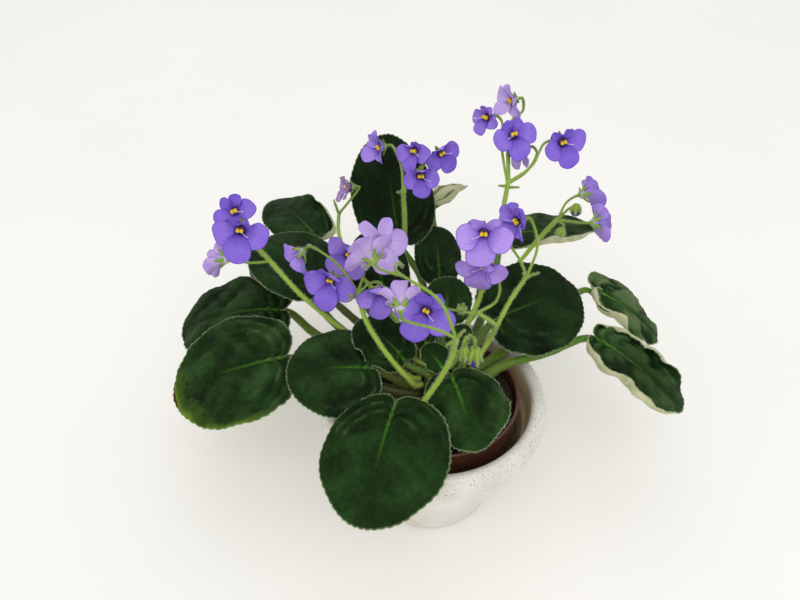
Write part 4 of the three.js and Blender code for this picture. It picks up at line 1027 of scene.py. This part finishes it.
# Flower stalks
stalkHabit = {"stalk": 1.6, "branches": [], "twigs": [], "buds": []}
slim = 0.88  # the stalks are drawn a little thinner than their solids
stalks = {
    "stalkLeft": {
        "root": (179, 94),
        "path": [
            (-30, 16, 95), (-54, 33, 101), (-66, 36, 112), (-77, 38, 124), (-92, 44, 142), (-99, 45, 152)],
        "flowers": [
            ("bloomLeft2", (-99, 45, 151.5), [(-101, 41, 162)]),
            ("bloomLeft1", (-99, 45, 151.5), [(-107, 58, 156)]),
            ("bloomLeft3", (-92, 44, 142), [(-101, 40, 144)])]},
    "stalkMiddle": {
        "root": (204, 94),
        "path": [(-13, -7, 98.5), (-20, -3, 105), (-28, 5, 111), (-38, 20, 119), (-43, 36, 126)],
        "flowers": [
            ("bloomMiddle1", (-43, 35, 125.5), [(-53, 44, 138), (-63, 46, 147), (-70, 53, 146)]),
            ("bloomMiddle2", (-43, 35, 125.5), [(-49, 46, 128)]),
            ("bloomMiddle3", (-43, 35, 125.5), [(-40, 60, 128)]),
            ("bloomMiddle4", (-43, 35, 125.5), [(-36, 39, 130)])],
        "buds": [((-43.5, 35, 125), (-49, 32, 127), 1.8)]},
    "stalkFront": {
        "root": (250, 88.9),
        "path": [
            (-6, -20, 93), (-7.6, -25, 99), (-5.5, -25, 104), (2, -21, 116), (7, -21, 131), (8, -26, 150)],
        "flowers": [
            ("bloomFront1", (8, -26, 149.5), [
                (0, -18, 166), (-20, 0, 169), (-20, 22, 158), (-18, 44, 139), (-25, 57, 139)]),
            ("bloomFront2", (-17, -3, 169), []),
            ("bloomFront3", (8, -26, 149.5), [(-2, -29, 158)])],
        "twigs": [[(8, -26, 149), (12, -27, 156)], [(7.8, -25.6, 148), (3, -27, 145)]]},
    "stalkCentre": {
        "root": (12, 88.9), "path": [(24, 8, 99), (31, 14, 109), (34, 11, 124)],
        "flowers": [
            ("bloomCentre1", (49, 23, 148), [(45, 34, 153), (34, 38, 165)]),
            ("bloomCentre2", (22, 9, 134), [(34, 20, 134), (36, 36, 138)]),
            ("bloomCentre3", (49, 23, 148), [(53, 27, 166)]),
            ("bloomCentre4", (22, 9, 133.5), [(8, 12, 134)])],
        "branches": [
            [(34, 11.2, 123), (28, 9, 130), (22, 9, 134.5)],
            [(34, 11.2, 123), (41, 18, 136), (49, 23, 148.5)]],
        "twigs": [[(49, 23, 148), (56, 25, 149)], [(49, 23, 148), (46, 21, 152)]],
        "buds": [((14, 11, 132.5), (14, 10, 139), 1.8)]},
    "stalkBack": {
        "root": (99, 94),
        "path": [(-3, 36, 98), (-13, 70, 101), (-17, 86, 113), (-16, 88, 134), (-17, 90, 160)],
        "flowers": [
            ("bloomBack1", (-17, 90, 159.5), [(-18, 106, 166), (-22, 122, 169)]),
            ("bloomBack2", (-6, 108, 164), [(-3, 114, 170)]),
            ("bloomBack3", (-6, 108, 164), [(2, 122, 167)]),
            ("bloomBack4", (-6, 108, 164), [(-7, 99, 168)])],
        "branches": [[(-17, 90, 159), (-13, 99, 162), (-6, 108.5, 164.4)]],
        "twigs": [[(-17, 90, 158), (-21, 88, 160)]]},
    "stalkOld": {
        "root": (140, 96.6), "stalk": 1.3,
        "path": [
            (-10, 9, 98.8), (-15, 24, 103.5), (-25, 38, 109), (-34, 50, 115), (-46, 64, 121), (-57, 88, 130),
            (-57, 98, 139)],
        "flowers": [("bloomOld", (-57, 97, 138.5), [(-50, 97, 148)])],
        "twigs": [[(-57, 97, 138), (-60, 100, 147)]]},
    "stalkTall": {
        "root": (52, 94),
        "path": [(15, 18, 100), (20, 27, 110), (26, 35, 120), (32, 46, 138), (38, 60, 158), (42, 72, 178)],
        "flowers": [
            ("bloomTall1", (42, 71.5, 177), [(42, 86, 187), (45, 104, 197), (54, 118, 198)]),
            ("bloomTall2", (41.6, 70.6, 175.6), [(39, 88, 188), (40, 104, 197)]),
            ("bloomTall3", (42.2, 71.9, 177.4), [(43, 84, 184)]),
            ("bloomTall4", (41.9, 71, 176.2), [(52, 78, 179), (60, 92, 184)]),
            ("bloomTall5", (41.7, 71.2, 176.7), [(55, 77, 184), (63, 90, 191)])],
        "twigs": [[(41.4, 70.2, 175), (36, 69, 176)], [(41.2, 69.8, 174.4), (48, 69, 175)]]},
    "stalkRight": {
        "root": (74, 88.9),
        "path": [(13, 30, 92.5), (34, 60, 97), (58, 87, 109), (72, 90, 130), (78, 89, 140)],
        "flowers": [
            ("bloomRight1", (78, 89, 139.5), [(83, 95, 148)]),
            ("bloomRight2", (78, 89, 139.5), [(84, 82, 143)])],
        "twigs": [
            [(78, 89, 139.5), (84, 90, 147), (88, 90, 149.5)],
            [(78, 89, 139), (81, 84, 139), (80, 81, 136.5)]],
        "buds": [((88, 90, 150), (88, 88, 144), 2.6, "showing"), ((80, 82, 138), (78, 80, 133), 2.2)]},
    "stalkYoung": {
        "root": (28, 94), "stalk": 1.4, "path": [(16, 4, 106), (16, 2, 118), (18, -2, 128)], "flowers": [],
        "twigs": [
            [(18, -2, 127), (20, -5, 129), (20.5, -8, 124)],
            [(18, -2, 127), (15, -5, 129), (14, -8, 124)]],
        "buds": [
            ((20.5, -8, 125), (20.5, -9, 114), 2.8, "showing"),
            ((14.5, -7.5, 125), (16, -9, 118), 2.0)]}}
stalkFinish = [stalkSkin, paleHair, petalSkins["violetPetal"]]  # 0 stalk and sepals, 1 hairs, 2 bud petals
sepals = {"count": 5, "apart": 1.257, "length": 6.2, "width": 2.1, "behind": 2.5}  # apart in radians


# The stems of a stalk by sort: radii from root to end, where it lies in the stalk's colours, how far it is
# tinted, how finely it is made, and its hairs by number on a mm, length and thickness
stemSorts = {
    "main": {
        "radii": (1.05, 1, 0.95, 0.9), "reach": (0, 0.55), "tint": 0.0, "around": 12, "step": 1.6,
        "hairs": (9, 1.5, 0.07)},
    "branch": {
        "radii": (0.85, 0.75), "reach": (0.45, 0.65), "tint": 0.0, "around": 10, "step": 1.6,
        "hairs": (9, 1.4, 0.07)},
    "twig": {
        "radii": (0.85, 0.8, 0.7, 0.35), "reach": (0.5, 0.8), "tint": 0.25, "around": 7, "step": 1,
        "hairs": (9, 1.1, 0.07)},
    "pedicel": {
        "radii": (0.85, 0.72, 0.68, 0.7, 0.95), "reach": (0.5, 0.95), "tint": 0.1, "around": 8, "step": 1.6,
        "hairs": (6, 1.1, 0.045)},
    "budSepal": {
        "radii": (0.3, 0.42, 0.44, 0.34, 0.12), "reach": (0.1, 0.4), "tint": 0.05, "around": 6, "step": 0.8,
        "hairs": (9, 1.6, 0.06)}}


def hairyStem(sort, points, girth=1):
    look = stemSorts[sort]
    stem = makeStem(points, [girth * r for r in look["radii"]], look["reach"])
    skin = stemPiece(stem, look["around"], 0, look["step"], {"tint": look["tint"]})
    perMm, longest, thickness = look["hairs"]
    return [skin, stemHairs(stem, perMm, longest, 1, thickness)]


def makeSepal(flower, angle, tip):
    length = sepals["length"] * chance.uniform(0.9, 1.1) * min(1, flower["size"] + 0.1)
    flare = chance.uniform(-0.3, 0.9)
    kept = {}

    def place(a, b):
        share, turn = discOf(a, b)
        x = 0.45 + np.where(np.cos(turn) > 0, 0.55, 0.45) * np.cos(turn) * share
        y = 0.5 * np.sin(turn) * share * (1 - 0.55 * smoothStep(x, 0.45, 1))
        kept["reach"] = 0.55 + 0.3 * x
        kept["tint"] = smoothStep(x, 0.72, 1) * tip
        along = 0.6 + x * (length - 0.6)
        lift = -sepals["behind"] - 0.9 * (1 - x) + flare * x ** 2 + 0.5 * (2 * y) ** 2
        lift += along * math.tan(math.radians(flower["cup"]) * 0.95)
        return fromFlower(flower, np.stack([*turnAbout(angle, along, y * sepals["width"]), lift], axis=1))

    sepal = gridPiece("sepal", 6, 8, place, kept)
    return thicken(sepal, 0.7, np.ones(len(kept["reach"])), stalkFinish, 0)


def makeBud(start, end, radius, showing):
    # A closed bud: five pressed sepals, with the petals just out at the end where it is showing
    foot, top = np.array([start, end], float)
    span = top - foot

    def budStem(places, radii, reach=(0, 1)):
        return makeStem([foot + span * t for t in places], [radius * r for r in radii], reach)

    core = budStem((0.1, 0.4, 0.6, 0.8), (0.4, 0.8, 0.9, 0.8, 0.3), (0.5, 0.7))
    pieces = [stemPiece(core, 10, 0, step=0.5, facts={"tint": 0.1})]
    if showing:
        petals = budStem((0.6, 0.78, 1, 1.2), (0.6, 0.95, 1.15, 0.9, 0.2))
        pieces.append(stemPiece(petals, 10, 2, step=0.5, facts=petalFacts(0.12)))
    axis = unit(span)
    side = unit(np.cross(axis, (0.3, 0.2, 0.9)))
    up = np.cross(axis, side)
    for i in range(sepals["count"]):
        turn = i * sepals["apart"]
        out = side * math.cos(turn) + up * math.sin(turn)
        flare = random.uniform(0.9, 1.9)
        bulge = ((0, 0.3), (0.35, 0.95), (0.65, 1.05), (0.9, flare))
        bow = [foot + span * t + out * radius * r for t, r in bulge]
        pieces += hairyStem("budSepal", bow, radius)
    return pieces


for name, spec in stalks.items():
    stalk = {**stalkHabit, **spec}
    thick = stalk["stalk"] * slim
    parts = hairyStem("main", [*crownSide(*stalk["root"]), *stalk["path"]], thick)
    for branch in stalk["branches"]:
        parts += hairyStem("branch", branch, thick)
    for twig in stalk["twigs"]:
        parts += hairyStem("twig", twig)
    for start, end, radius, *state in stalk["buds"]:
        parts += makeBud(start, end, radius, "showing" in state)
    for flowerName, start, via in stalk["flowers"]:
        flower = flowers[flowerName]
        behind = [fromFlower(flower, (0, 0, z)) for z in (-6.7, -3.4)]
        parts += hairyStem("pedicel", [start, *via, *behind])
        parts.append(ballPiece(2, 0, lambda p: fromFlower(flower, p * (1.7, 1.7, 1.3) + (0, 0, -3.1))))
        for i in range(sepals["count"]):
            parts.append(makeSepal(flower, math.radians(72 * i + 20), random.choice((0.2, 0.5, 0.9))))
        cup = axisStem(flower, (-4.4, -3.2, -2.2), [1.2, 1.9, 3.2])
        parts.append(stemHairs(cup, 22, 1.0, 1, radius=0.045))
    settle(joinPieces(name, parts, stalkFinish), nodeOf(name))
print("stalks made:", len(stalks))


# Pots and soil
outerPot = {
    "profile": [
        (0, 0), (37.5, 0), (38.1, 1), (39.1, 7.6), (38.7, 8.4), (39.5, 9.4), (53.6, 46), (57.6, 64),
        (62.6, 67), (64.6, 71), (65, 75), (64.1, 79.5), (62, 82.8), (60.3, 84), (56.6, 82.8), (55.6, 80.5),
        (54.2, 66), (52.2, 63.5), (48, 44), (33, 8), (31, 5), (0, 5)],
    "segments": 120, "step": 1.1, "softened": 3, "lipFrom": 66, "bareBelow": 79.5,
    # the ridges left by throwing: height, how deep and how broad
    "ridges": [(52, 0.2, 2.2), (60, 0.2, 1.6), (24, 0.15, 3)]}
nurseryPot = {
    "profile": [
        (0, 5.3), (27, 5.3), (42, 60), (44.4, 61), (45.2, 81.5), (46, 82.1), (46, 83.9), (45.4, 84.5),
        (43.8, 84.5), (43.2, 61.8), (40.8, 60.8), (25.8, 6.5), (0, 6.5)],
    "segments": 96, "step": 1.2, "softened": 1}
glazeLook = {
    "body": [(0.3, "#d5d1c8"), (0.7, "#e5e1da")], "bare": [(0.3, "#e2c89c"), (0.7, "#f0dab2")],
    "grey": "#a8aca4", "speck": "#4a5058",
    # how fine, how rare, how wide on the lip and on the body, how dark
    "specks": [(1250, 0.25, 0.34, 0.05, 0.5), (640, 0.72, 0.34, 0.22, 0.75)]}


def glazeMaterial(look):
    # Stoneware with a satin white glaze: iron specks have bled through, the inside is left bare taupe
    material, tree = newMaterial("speckledGlaze", {
        "Roughness": 0.38, "IOR": 1.5, "Coat Weight": 0.15, "Coat Roughness": 0.3})
    lip = fact(tree, "lip")
    cloud = noise(tree, 60, 5)
    mottle = noise(tree, 700, 3)
    grey = calc(tree, "MULTIPLY", remap(tree, mottle, 0.5, 0.75, 0, 0.5), lip)
    colour = overlay(tree, grey, ramp(tree, cloud, look["body"]), look["grey"])
    # specks: many fine ones on the lip and few below it, and now and then a coarse one
    for scale, rare, onLip, onBody, strength in look["specks"]:
        dots = specks(tree, scale, rare, remap(tree, lip, 0, 1, onBody, onLip))
        colour = overlay(tree, calc(tree, "MULTIPLY", dots, strength), colour, look["speck"])
    colour = overlay(tree, fact(tree, "inside"), colour, ramp(tree, cloud, look["bare"]))
    return finishMaterial(material, colour, bump(tree, mottle, 0.3, 0.0003))


def finerProfile(pot):
    # The profile in short steps, its corners softened in rounds, its two ends kept
    p = np.array(pot["profile"], float)
    gone = np.r_[0, np.cumsum(np.linalg.norm(np.diff(p, axis=0), axis=1))]
    even = np.linspace(0, gone[-1], int(gone[-1] / pot["step"]) + 1)
    line = np.stack([np.interp(even, gone, p[:, k]) for k in range(2)], axis=1)
    for _ in range(pot["softened"]):
        line[1:-1] = line[:-2] * 0.25 + line[1:-1] * 0.5 + line[2:] * 0.25
    return line


def turnedPiece(name, line, segments, centre, wobble, facts):
    # A profile turned about its centre; the facts are given for its points in turn
    rows = len(line) - 1
    kept = {}

    def place(a, b):
        row = np.rint((b + 1) / 2 * rows).astype(int)
        kept.update({title: values[row] for title, values in facts.items()})
        turn = math.pi * (a + 1)
        radius, height = line[row].T
        radius = radius + np.minimum(radius / 20, 1) * wobble(turn, height)
        x, y = centre[0] + radius * np.cos(turn), centre[1] + radius * np.sin(turn)
        return np.stack([x, y, height], axis=1)

    return gridPiece(name, segments, rows, place, kept)


def potWobble(turn, height):
    # Thrown and trimmed by hand: slow ovals, and soft ridges round the body
    wobble = 0.15 * np.sin(2 * turn + 1)
    for middle, deep, broad in outerPot["ridges"]:
        wobble += deep * np.exp(-((height - middle) / broad) ** 2)
    return wobble


line = finerProfile(outerPot)
pastTop = np.arange(len(line)) > np.argmax(line[:, 1])
potFacts = {
    "inside": (pastTop & (line[:, 1] < outerPot["bareBelow"])).astype(float),
    "lip": smoothStep(line[:, 1], outerPot["lipFrom"] - 2, outerPot["lipFrom"] + 6)}
pot = turnedPiece("outerPot", line, outerPot["segments"], (0, 0), potWobble, potFacts)
settle(joinPieces("outerPot", [pot], [glazeMaterial(glazeLook)]), "outer_pot")

line = finerProfile(nurseryPot)
potPlastic = plainMaterial(
    "mouldedPlastic", "#4b281c", "#5c3829", 0.02, 0.00005, {"Roughness": 0.38, "Specular IOR Level": 0.45})
pot = turnedPiece("nurseryPot", line, nurseryPot["segments"], crown["centre"], lambda turn, height: 0, {})
settle(joinPieces("nurseryPot", [pot], [potPlastic]), "nursery_pot")
print("pots made")

soil = {
    "crumbs": 1500, "beige": 90, "barkSize": (0.5, 1.7), "beigeSize": (0.5, 1.1), "radius": 42.6, "crown": 11,
    "top": 78.4, "heap": 2.2}
peat = plainMaterial("dampPeat", "#0f0b08", "#261b12", 0.002, 0.001, {"Roughness": 0.95})
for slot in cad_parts["soil"].material_slots:
    slot.material = peat
bark = plainMaterial("barkGrain", "#1b120c", "#35261a", 0.001, 0.0004, {"Roughness": 0.9})
perlite = plainMaterial("paleGrain", "#8f7a52", "#c0ab7e", 0.001, 0.0003, {"Roughness": 0.85})
seedPoints, seedFaces = shapeOf(bpy.ops.mesh.primitive_ico_sphere_add, subdivisions=1, radius=1)
points, faces, finish = [], [], []
for i in range(soil["crumbs"]):
    pale = i < soil["beige"]
    away = math.sqrt(chance.uniform(soil["crown"] ** 2, soil["radius"] ** 2))
    turn = chance.uniform(0, anyTurn)
    size = chance.uniform(*soil["beigeSize" if pale else "barkSize"])
    heap = soil["top"] + soil["heap"] * smoothStep(soil["radius"] - away, 0, 14)
    lump = seedPoints * (1 + chance.normal(0, 0.2, (len(seedPoints), 1))) * size
    lump *= chance.uniform(0.6, 1.4, 3)
    spin = chance.uniform(0, anyTurn)
    c, s = math.cos(spin), math.sin(spin)
    lump = lump @ np.array([[c, s, 0], [-s, c, 0], [0, 0, 1]])
    away = min(away, soil["radius"] - size * 1.2)
    x, y = crown["centre"] + away * np.array([math.cos(turn), math.sin(turn)])
    points.append(lump + (x, y, heap + chance.uniform(-0.4, 0.5)))
    faces.append(seedFaces + i * len(seedPoints))
    finish += [1 if pale else 0] * len(seedFaces)
crumbs = trianglePiece("soilCrumbs", np.vstack(points), np.vstack(faces), finish, False)
for material in (bark, perlite):
    crumbs.data.materials.append(material)
settle(crumbs, None)
print("soil made")


# Floor, light and camera
bpy.ops.object.select_all(action="DESELECT")
bpy.ops.mesh.primitive_plane_add(size=12)
floor = bpy.context.active_object
floor.name = "floor"
# Smooth white card: matt, a faint cloudiness keeps it from reading as a flat fill
card = plainMaterial(
    "whiteCard", "#f8f6f3", "#fbf9f6", 0.3, 0.0001, {"Roughness": 0.9, "Specular IOR Level": 0.1})
floor.data.materials.append(card)

studio = {
    "sky": "#fcfcfa", "skyStrength": 0.84, "aim": (0, 0.03, 0.1),
    "lamps": {
        "keyLight": {"place": (0.0, -1.4, 1.8), "size": 1.8, "power": 13},
        "fillLight": {"place": (-0.1, 0.7, 2.0), "size": 1.6, "power": 3}}}
world = bpy.data.worlds.new("studio")
bpy.context.scene.world = world
world.use_nodes = True
sky = world.node_tree.nodes["Background"]
sky.inputs["Color"].default_value = linearColour(studio["sky"])
sky.inputs["Strength"].default_value = studio["skyStrength"]
for name, light in studio["lamps"].items():
    bpy.ops.object.light_add(type="AREA", location=light["place"])
    lamp = bpy.context.active_object
    lamp.name = name
    lamp.data.shape = "SQUARE"
    lamp.data.size = light["size"]
    lamp.data.energy = light["power"]
    lamp.rotation_euler = (Vector(studio["aim"]) - lamp.location).to_track_quat("-Z", "Y").to_euler()

camera = {"place": (-0.0189, -0.2688, 0.3832), "down": 40.8, "lens": 31.5}
bpy.ops.object.camera_add(location=camera["place"], rotation=(math.radians(90 - camera["down"]), 0, 0))
eye = bpy.context.active_object
eye.data.lens = camera["lens"]
eye.data.sensor_width = 36
eye.data.clip_start = 0.01
bpy.context.scene.camera = eye
bpy.context.scene.view_settings.view_transform = "Standard"  # plain colours, as the photograph has them
print("floor, light and camera set")

for mesh in blankGrids.values():
    bpy.data.meshes.remove(mesh)
